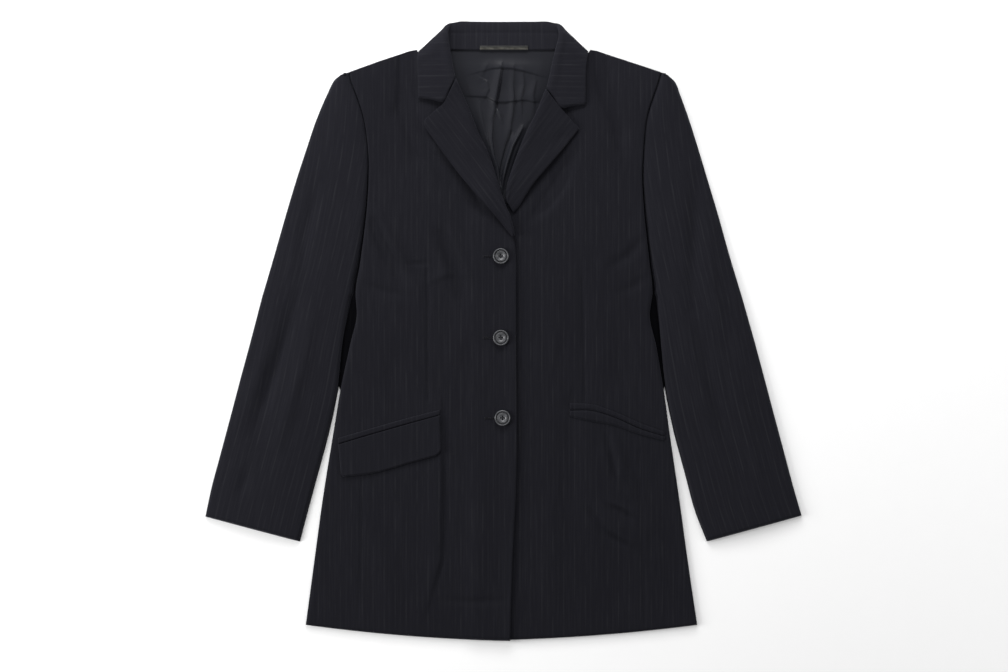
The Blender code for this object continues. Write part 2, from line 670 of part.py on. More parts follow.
def collar_section(row):
    """One section of the collar from its table row."""
    (edge_x, edge_y, middle_x, middle_y, roll_x, roll_y, neck_x, neck_y,
     edge_z, roll_z, neck_z, radius, turn) = row
    right = roll_x < 0
    if edge_z == 0 and turn < 1:
        edge_z = front_top(edge_x, edge_y, right) + WALL + REST_GAP
        neck_z = front_top(neck_x, neck_y, right) + REST_GAP
        roll_z = neck_z + radius
    edge = Vector((edge_x, edge_y, edge_z))
    roll = Vector((roll_x, roll_y, roll_z))
    neck = Vector((neck_x, neck_y, neck_z))
    across = (roll - edge)
    outward = Vector((across.y, -across.x, 0)).normalized()
    if right:
        outward = -outward
    fall_z = roll_z + radius * math.cos(math.radians(turn))
    crown = 0.4 if turn == 0 else 0.0
    middle = Vector((middle_x, middle_y, (edge_z + fall_z) / 2 + crown))
    return hairpin(edge, middle, roll, neck, radius, turn, outward)


def make_collar():
    sections = [collar_section(row) for row in RIGHT_COLLAR]
    sections += [collar_section(row) for row in reversed(LEFT_COLLAR)]
    folded_cloth("collar", sections)


# ---------------------------------------------------------------- pockets

# x, mouth_y, upper_y, lower_y
RIGHT_POCKET = (      # upper welt above the mouth, flap below it
    (-214.5, -147.0, -138.5, -189.0),
    (-166.0, -132.5, -124.5, -183.0),
    (-124.0, -120.5, -112.5, -171.0),
    (-82.5, -109.0, -102.0, -160.0),
)
LEFT_POCKET = (       # a welt above and one below the open mouth
    (86.0, -102.5, -93.5, -110.5),
    (113.0, -102.5, -94.5, -116.5),
    (143.0, -111.0, -104.0, -122.0),
    (177.0, -126.0, -119.0, -133.5),
    (209.0, -136.0, -130.5, -141.5),
)
WELT_WALL = 1.3
FLAP_CORNERS = (2.0, 7.0)      # how much higher the flap's lower corners are, outer and inner
FLAP_SLANT = (7.2, 1.5)        # how far its ends move inwards on the way down
FLAP_LIFT = 0.5                # its lower edge stands off a little


def strip_on_front(name, table, upper, lower, right, columns, rows, wall):
    """A strip that lies on a front between two edges given by functions of a table row."""
    first = table[0][0]
    last = table[-1][0]

    def place(column, row, outer):
        x = first + (last - first) * column / columns
        line = read_table(table, 0, x)
        y = lower(line) + (upper(line) - lower(line)) * row / rows
        height = front_top(x, y, right) + REST_GAP
        return Vector((x, y, height + wall if outer else height))
    return cloth_wall(name, columns, rows, place)


def make_pockets():
    strip_on_front("jet_right_upper", RIGHT_POCKET, lambda line: line[2], lambda line: line[1] + 0.6,
                   True, 8, 1, WELT_WALL)
    strip_on_front("jet_left_upper", LEFT_POCKET, lambda line: line[2], lambda line: line[1] + 0.8,
                   False, 8, 1, WELT_WALL)
    strip_on_front("jet_left_lower", LEFT_POCKET, lambda line: line[1] - 0.8, lambda line: line[3],
                   False, 8, 1, WELT_WALL)

    first = RIGHT_POCKET[0][0]
    last = RIGHT_POCKET[-1][0]

    def flap(column, row, outer):
        share = column / 9
        x = first + (last - first) * share
        line = read_table(RIGHT_POCKET, 0, x)
        down = 1 - row / 4
        corner = FLAP_CORNERS[0] * rise(-share, -0.1, 0) + FLAP_CORNERS[1] * rise(share, 0.86, 1)
        y = line[1] + (line[3] + corner - line[1]) * down
        x += (FLAP_SLANT[0] * (1 - share) + FLAP_SLANT[1] * share) * down
        height = front_top(x, y, True) + REST_GAP + FLAP_LIFT * down
        return Vector((x, y, height + WALL if outer else height))
    cloth_wall("flap_right", 9, 4, flap)


# ---------------------------------------------------------------- buttons

# radius, height: from the middle of the top out and under
BUTTON_PROFILE = ((0.0, 1.7), (2.9, 1.9), (6.6, 2.9), (7.4, 2.7), (8.6, 4.0), (9.6, 3.9),
                  (BUTTON_RADIUS, 2.8), (9.2, 1.0), (6.0, 0.0), (0.0, 0.0))


def make_button(name, x, y):
    """A turned four-hole button with a raised rim and a dished middle."""
    mesh = bmesh.new()
    points = [mesh.verts.new((radius, 0, height)) for radius, height in BUTTON_PROFILE]
    edges = [mesh.edges.new(pair) for pair in zip(points, points[1:])]
    bmesh.ops.spin(mesh, geom=points + edges, cent=(0, 0, 0), axis=(0, 0, 1),
                   angle=2 * math.pi, steps=16, use_merge=True)
    bmesh.ops.remove_doubles(mesh, verts=mesh.verts, dist=0.001)
    face_outwards(mesh)
    base = front_top(x, y, True) + REST_GAP
    bmesh.ops.translate(mesh, verts=mesh.verts, vec=(x, y, base))
    button = new_object(name, mesh, "button")

    drill = bmesh.new()
    for quarter in range(4):
        turn = math.pi / 2 * quarter
        where = bmesh.ops.create_cone(drill, cap_ends=True, segments=6, radius1=BUTTON_HOLE,
                                      radius2=BUTTON_HOLE, depth=12)["verts"]
        aside = Vector((math.cos(turn), math.sin(turn), 0)) * BUTTON_HOLE_CIRCLE
        bmesh.ops.translate(drill, verts=where, vec=Vector((x, y, base + 2)) + aside)
    cutter = new_object(name + "_drill", drill, "button")
    cutter.hide_render = True
    cutter.display_type = "WIRE"
    cut = button.modifiers.new("holes", "BOOLEAN")
    cut.object = cutter
    cut.operation = "DIFFERENCE"


def make_blazer():
    make_back()
    make_lining()
    make_label()
    make_fronts()
    make_sleeves()
    make_collar()
    make_lapels()
    make_pockets()
    for number, (x, y) in enumerate(BUTTON_PLACES, start=1):
        make_button(f"button_{number}", x, y)


for old in list(bpy.data.objects):
    bpy.data.objects.remove(old, do_unlink=True)
make_blazer()
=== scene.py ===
# %% [markdown]
# A striped blazer, laid flat
#
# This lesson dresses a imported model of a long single-breasted blazer.  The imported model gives
# the right size and place of every cut piece.  Here each of them is made again as thin cloth
# with its finer creases, then the buttons, the sewing and the finishes are added.  We work in
# millimetres, as a tailor does, and turn them into Blender's metres at the end.

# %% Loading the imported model
import math
import bmesh
import bpy
import numpy as np
from mathutils import Matrix, Vector


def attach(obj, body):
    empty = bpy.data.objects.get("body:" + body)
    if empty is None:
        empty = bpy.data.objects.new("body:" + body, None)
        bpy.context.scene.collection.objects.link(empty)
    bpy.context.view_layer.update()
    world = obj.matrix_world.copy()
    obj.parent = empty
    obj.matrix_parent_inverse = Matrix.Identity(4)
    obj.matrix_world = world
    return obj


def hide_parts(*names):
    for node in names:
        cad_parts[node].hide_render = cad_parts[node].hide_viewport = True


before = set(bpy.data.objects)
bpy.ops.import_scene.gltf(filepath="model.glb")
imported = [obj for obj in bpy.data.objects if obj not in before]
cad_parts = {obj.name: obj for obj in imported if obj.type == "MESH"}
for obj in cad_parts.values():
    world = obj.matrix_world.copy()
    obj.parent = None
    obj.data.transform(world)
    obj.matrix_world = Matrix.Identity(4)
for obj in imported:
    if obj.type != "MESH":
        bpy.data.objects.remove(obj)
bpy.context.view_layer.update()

MM = 0.001
print("packed pieces:", len(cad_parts))

# %% [markdown]
# The camera and the light
#
# The blazer is seen from straight above, as on a cutting table.  A long lens keeps the sleeves
# as true as the middle.  The light is that of a white studio: a bright sky all round, which
# lifts the dark cloth, and four soft lamps.  Two stand beyond the collar: they make every fold
# a little brighter on its upper side and leave a faint shadow below the cuffs and the hem.  A
# strong one at the left and a weak one at the right bring out the folds that run up and down,
# which two equal lamps would hide.

# %% Camera
CAMERA_HEIGHT = 2.6
FRAME_WIDTH = 1.3104      # metres of the floor that the picture shows from side to side
FRAME_MIDDLE = (0.00065, -0.0062)
SENSOR_WIDTH = 36.0
camera_data = bpy.data.cameras.new("camera")
camera = bpy.data.objects.new("camera", camera_data)
bpy.context.scene.collection.objects.link(camera)
camera.location = (*FRAME_MIDDLE, CAMERA_HEIGHT)
camera_data.sensor_width = SENSOR_WIDTH
camera_data.lens = SENSOR_WIDTH * CAMERA_HEIGHT / FRAME_WIDTH
camera_data.clip_end = 20.0
bpy.context.scene.camera = camera
bpy.context.scene.view_settings.view_transform = "Standard"
print("lens", round(camera_data.lens, 1), "mm")


# %% Light
SKY_STRENGTH = 0.39
# name, place, aim, size in metres, power in watts
LAMPS = (
    ("key", (-0.3, 2.9, 2.0), (0.0, 0.0, 0.0), (2.6, 0.9), 36.0),
    ("low", (-0.1, 1.10, 0.52), (0.0, 0.3, 0.0), (1.1, 0.3), 10.0),
    ("left", (-1.9, -0.1, 0.85), (-0.2, 0.0, 0.0), (0.9, 1.0), 36.0),
    ("right", (1.9, -0.1, 0.85), (0.2, 0.0, 0.0), (0.9, 1.0), 9.0),
)


def soft_lamp(name, place, aim, size, power):
    """A rectangular area lamp at a place, turned towards an aim."""
    data = bpy.data.lights.new(name, "AREA")
    data.shape = "RECTANGLE"
    data.size, data.size_y = size
    data.energy = power
    lamp = bpy.data.objects.new(name, data)
    bpy.context.scene.collection.objects.link(lamp)
    lamp.location = place
    lamp.rotation_euler = (Vector(aim) - Vector(place)).to_track_quat("-Z", "Y").to_euler()


world = bpy.data.worlds.new("studio")
world.use_nodes = True
sky = world.node_tree.nodes["Background"]
sky.inputs["Color"].default_value = (1.0, 1.0, 1.0, 1.0)
sky.inputs["Strength"].default_value = SKY_STRENGTH
bpy.context.scene.world = world
for lamp_row in LAMPS:
    soft_lamp(*lamp_row)
print("lamps:", len(LAMPS))

# %% [markdown]
# Heights of the layers
#
# A garment on a table is a stack: back, lining, fronts, lapels.  Each layer's height is a
# function of the place on the table.  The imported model's solids use the same heights without
# the smaller creases, so the cloth that is made here lies in their place.  The alternative, a
# cloth simulation, would not find the folds of this very blazer, which have to be where they
# are seen.

# %% Sizes of the cloth
WALL = 2.0                                  # suiting with its facing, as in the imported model
GAP = 0.35
SEAM_REST = 0.6                             # height of a seam above the cloth below it
REST_GAP = 0.55                             # between a front and what lies on it
PAD = 4.6                                   # extra thickness of the padded shoulder
PAD_PLACE = ((192, 318), (48, 62))          # centre and size of a soft mound
BUST_PLACE = ((98, 130), (62, 95))
CROSSING = ((0, 150), (27, 30))             # where the lapels cross
CROSSING_LIFT = 0.8
COLLAR_LIFT = 2.8                           # the back rides up over the folded collar
BODY_LOFT = 1.2                             # air between back and fronts
CHEST_LOFT = 2.1
BUST_LOFT = 1.0
SHOULDER_LOFT = 1.0
SLEEVE_LOFT = 2.9
OVERLAP_LIFT = WALL + GAP + 0.15
FRONT_EDGE_LIFT = 1.2                       # the right front's edge stands off a little
LEAST_COVER = 1.9                           # a trough never goes through the back
LINING_WALL = 1.0
LINING_GAP = 0.5
UNDERLAP_EDGE = -22.0                       # hidden edge of the left front
TOP_LEVEL = 361.0                           # where the tables of body and sleeves end


# %% Reading tables and shaping heights
def rise(value, low, high):
    """0 below low, 1 above high and smooth between."""
    t = np.clip((np.asarray(value, dtype=float) - low) / (high - low), 0.0, 1.0)
    return t * t * (3 - 2 * t)


def bell(distance, width):
    """1 at no distance, fading softly on both sides."""
    return np.exp(-(distance / width) ** 2)


def mound(x, y, centre, size):
    """A soft round bump, 1 high."""
    return bell(x - centre[0], size[0]) * bell(y - centre[1], size[1])


def not_below(height, low, softness):
    """The height, eased so that it never goes under low."""
    return (height + low + np.hypot(height - low, softness)) / 2


def smooth_between(t, span, start, end, start_slope, end_slope):
    """A smooth curve from start to end, with t running from 0 to 1 over the span."""
    return (start * (2 * t**3 - 3 * t**2 + 1) + end * (3 * t**2 - 2 * t**3)
            + start_slope * span * (t**3 - 2 * t**2 + t) + end_slope * span * (t**3 - t**2))


def read_table(table, key, value):
    """A table's columns, read smoothly where its key column has this value."""
    rows = np.array(table, dtype=float)
    if rows[0, key] > rows[-1, key]:
        rows = rows[::-1]
    keys = rows[:, key]
    slopes = np.gradient(rows, keys, axis=0)
    at = int(np.clip(np.searchsorted(keys, value) - 1, 0, len(keys) - 2))
    span = keys[at + 1] - keys[at]
    t = (value - keys[at]) / span
    return smooth_between(t, span, rows[at], rows[at + 1], slopes[at], slopes[at + 1])


def read_rows(table, share):
    """A table read smoothly by row number, share running from 0 at its first row to 1."""
    rows = np.array(table, dtype=float)
    numbered = np.column_stack((np.arange(len(rows)), rows))
    return read_table(numbered, 0, share * (len(rows) - 1))[1:]


def line_distance(x, y, points):
    """Distance from a line through points, positive on its right-hand side, and how far along
    it the nearest place is, 0 to 1."""
    best = np.full(np.shape(x), 1e9)
    side = np.ones(np.shape(x))
    along = np.zeros(np.shape(x))
    total = sum(math.dist(a, b) for a, b in zip(points, points[1:]))
    done = 0.0
    for (ax, ay), (bx, by) in zip(points, points[1:]):
        length = math.dist((ax, ay), (bx, by))
        t = np.clip(((x - ax) * (bx - ax) + (y - ay) * (by - ay)) / length**2, 0, 1)
        distance = np.hypot(x - ax - t * (bx - ax), y - ay - t * (by - ay))
        nearer = distance < best
        best = np.where(nearer, distance, best)
        side = np.where(nearer, np.sign((x - ax) * (by - ay) - (y - ay) * (bx - ax)), side)
        along = np.where(nearer, (done + t * length) / total, along)
        done += length
    return best * side, along


def crease(x, y, places, width, depth, steep=1.0):
    """A soft trough or ridge, fading at its ends.  steep below 1 narrows its right-hand side,
    as where cloth folds over itself."""
    distance, along = line_distance(x, y, places)
    reach = np.where(distance > 0, width * steep, width)
    fade = 0.2 + 0.8 * np.sin(np.pi * np.clip(along * 0.92 + 0.04, 0, 1))
    return depth * fade * bell(distance, reach)


print("walls of", WALL, "mm, pads of", PAD, "mm")

# %% [markdown]
# The cutting tables
#
# These short tables are the pattern of the blazer.  Each row is one section, from the hem up,
# and gives where the section starts and ends on the table.  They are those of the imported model,
# so that the finer cloth keeps its outline, apart from the lower tip of the right lapel, which
# has one row more, and the inner edge of the collar's stand, which covers the lining.

# %% Outlines of the cloth
# Outlines of the fronts, a row for each section from the hem up.
# centre_x, centre_y, side_x, side_y
RIGHT_FRONT = (
    (8.5, -402.0, -256.8, -381.2),
    (11.7, -297.4, -245.6, -297.4),
    (15.6, -219.4, -235.0, -219.4),
    (17.5, -128.4, -220.4, -128.4),
    (16.9, -77.7, -212.0, -77.7),
    (16.3, -12.7, -198.3, -12.7),
    (16.3, 19.8, -192.3, 19.8),
    (16.3, 48.0, -194.6, 48.0),
    (16.3, 90.0, -187.9, 90.0),
    (14.0, 118.6, -183.6, 118.6),
    (4.2, 156.3, -178.9, 156.3),
    (-12.1, 196.6, -175.9, 196.6),
    (-25.8, 235.6, -175.9, 231.7),
    (-42.7, 274.6, -180.7, 272.0),
    (-58.9, 313.6, -190.5, 304.5),
    (-71.3, 342.2, -197.0, 321.4),
    (-78.7, 361.0, -200.9, 336.0),
)
LEFT_FRONT = (
    (UNDERLAP_EDGE, -401.4, 251.6, -381.2),
    (UNDERLAP_EDGE, -297.4, 239.2, -297.4),
    (UNDERLAP_EDGE, -219.4, 228.5, -219.4),
    (UNDERLAP_EDGE, -128.4, 215.2, -128.4),
    (UNDERLAP_EDGE, -82.9, 209.0, -82.9),
    (UNDERLAP_EDGE, -16.6, 198.0, -16.6),
    (UNDERLAP_EDGE, 19.8, 191.6, 19.8),
    (UNDERLAP_EDGE, 48.0, 195.9, 48.0),
    (-20.2, 90.0, 191.4, 90.0),
    (-16.3, 118.6, 187.9, 118.6),
    (-6.0, 153.7, 184.0, 153.7),
    (10.0, 190.1, 181.0, 196.6),
    (21.2, 229.1, 182.0, 235.6),
    (38.8, 269.4, 185.3, 273.3),
    (56.3, 311.0, 193.7, 301.9),
    (66.7, 342.2, 199.6, 318.8),
    (78.7, 361.0, 204.8, 336.0),
)

# Outer edge of each sleeve beside the armhole, read at the height of the front's centre edge.
# level, outer_x, outer_y
RIGHT_SLEEVE_HEAD = (
    (48.0, -312.5, 48.0),
    (90.0, -300.2, 90.0),
    (156.3, -281.2, 156.3),
    (196.6, -269.1, 196.6),
    (235.6, -256.4, 235.6),
    (274.6, -243.2, 274.6),
    (313.6, -228.6, 308.6),
    (342.2, -219.6, 326.0),
    (361.0, -211.5, 332.6),
)
LEFT_SLEEVE_HEAD = (
    (48.0, 308.8, 48.0),
    (90.0, 296.0, 90.0),
    (156.3, 277.3, 156.3),
    (196.6, 265.2, 196.6),
    (235.6, 253.5, 235.6),
    (274.6, 241.2, 274.6),
    (313.6, 229.5, 307.0),
    (342.2, 222.3, 324.4),
    (361.0, 213.0, 332.6),
)

# Edges of each sleeve below the armhole.
# inner_x, inner_y, outer_x, outer_y
RIGHT_SLEEVE = (
    (-265.5, -272.9, -387.3, -240.6),
    (-254.8, -232.4, -379.5, -203.8),
    (-242.5, -186.9, -369.1, -164.8),
    (-226.9, -128.4, -354.5, -110.2),
    (-215.4, -72.5, -342.2, -63.4),
    (-209.4, -17.9, -329.2, -15.3),
    (-196.6, 46.0, -313.2, 46.0),
)
LEFT_SLEEVE = (
    (265.2, -272.7, 387.3, -239.3),
    (249.5, -232.4, 377.0, -203.8),
    (237.3, -186.9, 366.6, -164.8),
    (221.7, -128.4, 352.0, -110.2),
    (210.5, -72.5, 339.6, -63.4),
    (204.6, -17.9, 326.7, -15.3),
    (197.9, 46.0, 309.4, 46.0),
)

# Soft troughs (depth below zero) and ridges of the fronts and sleeves, largest first.
# start_x, start_y, end_x, end_y, width, depth
FOLDS = (
    (-132.0, 352.0, -134.0, 285.0, 13.0, -1.7),     # hollow beside the right fall
    (-134.0, 285.0, -111.0, 225.0, 11.0, -1.2),
    (119.0, 352.0, 134.0, 305.0, 13.0, -1.8),       # hollow beside the left fall
    (134.0, 305.0, 152.0, 262.0, 12.0, -1.1),
    (-78.0, 214.0, -44.0, 160.0, 15.0, -1.4),       # dip below the right lapel's edge
    (78.0, 204.0, 46.0, 168.0, 14.0, -1.2),         # dip below the left lapel's edge
    (-163.0, 138.0, -130.0, 68.0, 10.0, -1.3),      # drag line from the right armhole
    (-82.0, 124.0, -53.0, 50.0, 11.0, -1.2),        # drag line towards the top button
    (-98.0, -16.0, -99.0, 84.0, 9.0, -0.7),         # right dart
    (106.0, -92.0, 103.0, 70.0, 9.0, -0.7),         # left dart
    (-79.0, -285.0, -81.0, -130.0, 12.0, -1.1),     # edge of the right pocket bag
    (82.0, -222.0, 80.0, -100.0, 11.0, -1.1),       # edge of the left pocket bag
    (134.0, -160.0, 160.0, -207.0, 10.0, 1.0),      # ripples over the left pocket bag
    (120.0, -250.0, 166.0, -272.0, 11.0, 0.9),
    (-300.0, -60.0, -322.0, -190.0, 16.0, -1.2),    # creases down the sleeves
    (-262.0, 60.0, -280.0, -40.0, 16.0, -1.0),
    (256.0, 240.0, 282.0, 60.0, 15.0, -1.1),
    (276.0, -20.0, 300.0, -150.0, 16.0, -1.1),
)

# Lapels, a row for each section from the crossing up to the gorge seam.
# edge_x, edge_y, middle_x, middle_y, roll_x, roll_y, roll_radius
RIGHT_LAPEL = (
    (11.0, 122.4, 12.2, 123.2, 14.6, 124.4, 1.8),
    (4.4, 130.8, 8.0, 132.4, 12.9, 135.0, 2.2),
    (-6.0, 143.5, 1.2, 146.4, 8.9, 149.5, 2.3),
    (-20.2, 160.2, -9.5, 164.5, 0.6, 168.8, 2.5),
    (-48.8, 192.7, -28.5, 195.0, -8.6, 197.5, 2.7),
    (-77.0, 229.1, -48.0, 229.5, -18.9, 230.0, 2.8),
    (-92.5, 251.0, -61.0, 251.0, -30.5, 253.0, 2.9),
    (-103.5, 268.5, -79.5, 279.5, -43.0, 284.0, 3.0),
    (-96.0, 279.5, -76.9, 296.0, -61.3, 327.6, 3.0),
)
LEFT_LAPEL = (
    (12.4, 153.4, 8.0, 161.5, 2.9, 170.5, 2.5),
    (21.5, 163.5, 12.8, 171.5, 3.2, 180.0, 2.5),
    (37.5, 188.9, 20.0, 188.0, 5.2, 192.5, 2.6),
    (71.5, 229.1, 43.5, 227.5, 16.2, 225.0, 2.7),
    (86.0, 247.0, 56.0, 247.0, 27.0, 252.0, 2.8),
    (97.0, 261.5, 74.5, 271.0, 42.0, 283.0, 2.9),
    (93.0, 268.0, 74.6, 288.5, 54.6, 314.0, 3.0),
)

# Collar, a row for each section from the notch to the middle of the back.  The fall runs from
# the edge to the roll and the stand from the roll to the neck seam.  turn is 0 where the fall
# faces up on the front and 180 where it has gone round the shoulder and lies under the back.
# Heights of 0 at turn 0 are taken from the front below.
# edge_x, edge_y, middle_x, middle_y, roll_x, roll_y, neck_x, neck_y, edge_z, roll_z, neck_z, radius, turn
RIGHT_COLLAR = (
    (-110.6, 302.4, -77.6, 297.2, -62.0, 328.6, -70.5, 326.0, 0.0, 0.0, 0.0, 3.0, 0),
    (-110.8, 321.4, -89.0, 326.0, -65.4, 344.8, -76.0, 343.0, 0.0, 0.0, 0.0, 3.2, 0),
    (-111.0, 342.2, -92.0, 352.0, -68.9, 365.6, -80.0, 358.0, 0.0, 0.0, 0.0, 3.2, 0),
    (-111.2, 355.0, -92.0, 369.0, -71.4, 383.8, -80.0, 362.5, 12.2, 13.0, 9.9, 3.2, 0),
    (-110.2, 362.4, -91.4, 378.9, -72.0, 394.0, -77.4, 366.2, 9.2, 9.9, 9.0, 3.1, 42),
    (-106.4, 365.0, -88.4, 382.8, -70.6, 400.3, -74.0, 365.6, 4.9, 6.2, 8.4, 3.0, 90),
    (-103.4, 362.0, -84.0, 382.6, -65.5, 401.6, -69.6, 365.2, 1.2, 3.6, 8.2, 2.8, 140),
    (-91.7, 354.6, -75.0, 378.0, -59.0, 401.9, -61.8, 364.9, 0.0, 2.65, 8.1, 2.6, 180),
    (-52.0, 351.3, -47.0, 377.0, -39.0, 402.0, -41.0, 364.7, 0.0, 2.6, 8.1, 2.6, 180),
    (0.0, 350.7, 0.0, 377.0, 0.0, 401.8, 0.0, 364.6, 0.0, 2.6, 8.1, 2.6, 180),
)
LEFT_COLLAR = (
    (106.4, 293.6, 75.0, 289.6, 55.4, 315.0, 64.0, 313.0, 0.0, 0.0, 0.0, 3.0, 0),
    (106.6, 315.0, 84.0, 321.0, 60.2, 334.0, 71.0, 334.0, 0.0, 0.0, 0.0, 3.2, 0),
    (107.0, 338.0, 87.0, 349.0, 66.0, 361.0, 77.0, 354.0, 0.0, 0.0, 0.0, 3.2, 0),
    (108.6, 354.0, 91.0, 369.0, 71.4, 383.8, 80.0, 362.5, 12.2, 13.0, 9.9, 3.2, 0),
    (109.6, 362.4, 91.4, 378.9, 72.0, 394.0, 77.4, 366.2, 9.2, 9.9, 9.0, 3.1, 42),
    (106.4, 365.0, 88.4, 382.8, 71.6, 399.8, 74.0, 365.6, 4.9, 6.2, 8.4, 3.0, 90),
    (103.4, 362.0, 84.0, 382.6, 66.5, 401.2, 69.6, 365.2, 1.2, 3.6, 8.2, 2.8, 140),
    (91.7, 354.6, 75.0, 378.0, 60.0, 401.6, 61.8, 364.9, 0.0, 2.65, 8.1, 2.6, 180),
    (52.0, 351.3, 47.0, 377.0, 39.0, 402.0, 41.0, 364.7, 0.0, 2.6, 8.1, 2.6, 180),
)

# The lining that shows in the neck.
# level, left_x, right_x
LINING = (
    (364.9, -69.0, 69.0),
    (330.0, -68.0, 66.0),
    (290.0, -56.0, 56.0),
    (240.0, -38.0, 40.0),
    (190.0, -20.0, 22.0),
    (160.0, -14.0, 16.0),
)
# Pockets, a row for each place along the mouth.
# x, mouth_y, upper_y, lower_y
RIGHT_POCKET = (      # upper welt above the mouth, flap below it
    (-214.5, -147.0, -138.5, -189.0),
    (-166.0, -132.5, -124.5, -183.0),
    (-124.0, -120.5, -112.5, -171.0),
    (-82.5, -109.0, -102.0, -160.0),
)
LEFT_POCKET = (       # a welt above and one below the open mouth
    (86.0, -102.5, -93.5, -110.5),
    (113.0, -102.5, -94.5, -116.5),
    (143.0, -111.0, -104.0, -122.0),
    (177.0, -126.0, -119.0, -133.5),
    (209.0, -136.0, -130.5, -141.5),
)

print("sections of a front:", len(RIGHT_FRONT), " folds:", len(FOLDS))

# %% [markdown]
# Creases
#
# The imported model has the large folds.  A worn-in jacket also has smaller ones: drag lines
# from the armhole towards the button, the edge of each pocket bag pressing through, ripples
# over the pocket, soft bends down the sleeves.  Each is a line with a width and a depth, deepest
# in its middle and fading out at both ends, because no crease on cloth is even.  Where cloth
# folds over itself one side of the crease is steep.  A noise texture could not put them where
# this blazer has them.

# %% Smaller creases of the fronts and sleeves
CREASE_STRENGTH = 2.0      # the table's depths times this
# places (x, y) along the crease, width, depth (below zero for a trough), and where one side is
# steep, its share of the width
CREASES = (
    (((-171, 142), (-149, 97), (-132, 74)), 6.0, -2.2),        # right armhole to the waist
    (((-160, 150), (-137, 104), (-122, 86)), 7.0, 1.2),
    (((-79, 125), (-63, 81), (-53, 60)), 6.5, -1.9),           # towards the top button
    (((-92, 118), (-76, 76), (-66, 50)), 7.0, 0.8),
    (((-120, 306), (-103, 238), (-70, 189)), 8.0, -1.7),       # beside the right lapel
    (((-126, 430), (-128, 290), (-111, 232)), 13.0, -3.9, 0.6),
    (((119, 430), (129, 320), (148, 269), (152, 236)), 12.0, -3.4, 0.6),
    (((96, 240), (76, 196), (50, 160)), 8.0, -1.4),            # beside the left lapel
    (((-96, -349), (-82, -297), (-80, -210), (-81, -96)), 16.0, 1.5, 0.16),   # right pocket bag
    (((-93, -345), (-79, -297), (-77, -210), (-78, -96)), 3.0, -0.7),
    (((86, -83), (85, -150), (86, -219)), 11.0, -1.6, 0.22),   # left pocket bag
    (((133, -128), (146, -187), (159, -206)), 5.0, -1.5),      # ripples on the left
    (((146, -140), (158, -178), (170, -196)), 6.0, 1.2),
    (((137, -228), (152, -234), (165, -243)), 4.5, -1.4),
    (((112, -232), (133, -262), (158, -278)), 5.0, -1.5),
    (((126, -226), (146, -250), (168, -262)), 6.0, 1.0),
    (((190, -262), (198, -286)), 5.0, -1.2),
    (((-82, -349), (-40, -351), (8, -349)), 4.5, -0.8),        # pressed line near the hem
    (((-124, 87), (-96, 88)), 2.5, -0.8),
    (((-84, 222), (-54, 188), (-25, 155)), 8.5, -4.2),         # hollow under the right lapel
    (((80, 196), (58, 166), (36, 146)), 7.0, -1.6),            # hollow under the left lapel
    (((-165, 152), (-143, 108), (-128, 84)), 7.0, 1.3, 0.3),   # drag folds, folding over
    (((-70, 132), (-54, 92), (-40, 66)), 8.0, 1.2, 0.3),
    (((-100, 62), (-72, 74), (-46, 72)), 7.0, 0.7, 0.4),
    (((136, -124), (150, -184), (166, -212)), 7.0, 1.1, 0.3),
    (((112, -226), (136, -258), (164, -276)), 7.0, 1.2, 0.3),
    (((138, -222), (154, -230), (170, -240)), 5.0, 1.0, 0.3),
    (((-168, -260), (-150, -330), (-148, -380)), 14.0, 0.9),
    (((-30, -180), (-34, -280), (-40, -370)), 16.0, 0.8),
    (((60, -170), (64, -280), (60, -370)), 15.0, 0.9),
    (((130, -300), (150, -340), (170, -370)), 12.0, -0.9),
    (((210, -230), (218, -300), (226, -360)), 12.0, -0.9),
    (((-140, -20), (-142, -80), (-136, -120)), 14.0, -0.8),
    (((150, 10), (152, -50), (140, -90)), 14.0, -0.8),
    (((-40, 30), (-60, -30), (-56, -80)), 14.0, 0.7),
    (((60, 60), (68, 0), (60, -60)), 14.0, 0.7),
    (((-178, 60), (-150, 50), (-128, 46)), 6.0, -1.0),
    (((182, 120), (160, 96), (138, 84)), 6.5, -1.2),           # left armhole
    (((186, 70), (166, 56), (150, 52)), 6.0, -0.8),
    (((-268, 42), (-296, -50), (-324, -135)), 9.0, -2.2),      # right sleeve
    (((-246, 30), (-266, -60), (-292, -150)), 9.0, 1.2),
    (((-300, 20), (-322, -70), (-344, -120)), 8.0, 0.8),
    (((-240, 190), (-258, 120), (-262, 70)), 9.0, -1.4),
    (((-330, -180), (-344, -215)), 7.0, -1.0),
    (((249, 203), (246, 90), (246, 28)), 9.0, -1.9),           # left sleeve
    (((246, 28), (268, -60), (288, -135)), 9.0, -1.9),
    (((268, 150), (272, 60), (282, -10)), 9.0, 1.2),
    (((300, -60), (318, -130), (330, -180)), 8.0, 0.8),
    (((292, -160), (312, -210)), 7.0, -1.0),
)
# seams sewn into the fronts: places, width, depth
SEAMS = (
    (((-98.8, 85), (-98.2, 0), (-97.5, -89)), 2.1, -1.2),       # right dart
    (((101.7, 72), (104, -10), (106, -93)), 2.1, -1.2),         # left dart
    (((-182.7, -187), (-184, -280), (-188, -378)), 2.1, -0.8),  # side panel
    (((176, -150), (180, -270), (184, -378)), 2.1, -0.8),
)


def straight_folds(x, y):
    """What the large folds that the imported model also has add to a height."""
    total = np.zeros(np.shape(x))
    for start_x, start_y, end_x, end_y, width, depth in FOLDS:
        distance = line_distance(x, y, ((start_x, start_y), (end_x, end_y)))[0]
        total += depth * bell(distance, width)
    return total


def small_creases(x, y):
    """Creases that fade at their ends, and seams, which are even all along."""
    total = np.zeros(np.shape(x))
    for fold in CREASES:
        total += CREASE_STRENGTH * crease(x, y, *fold)
    for places, width, depth in SEAMS:
        distance, along = line_distance(x, y, places)
        total += depth * bell(distance, width) * rise(along, 0, 0.04)
    return total


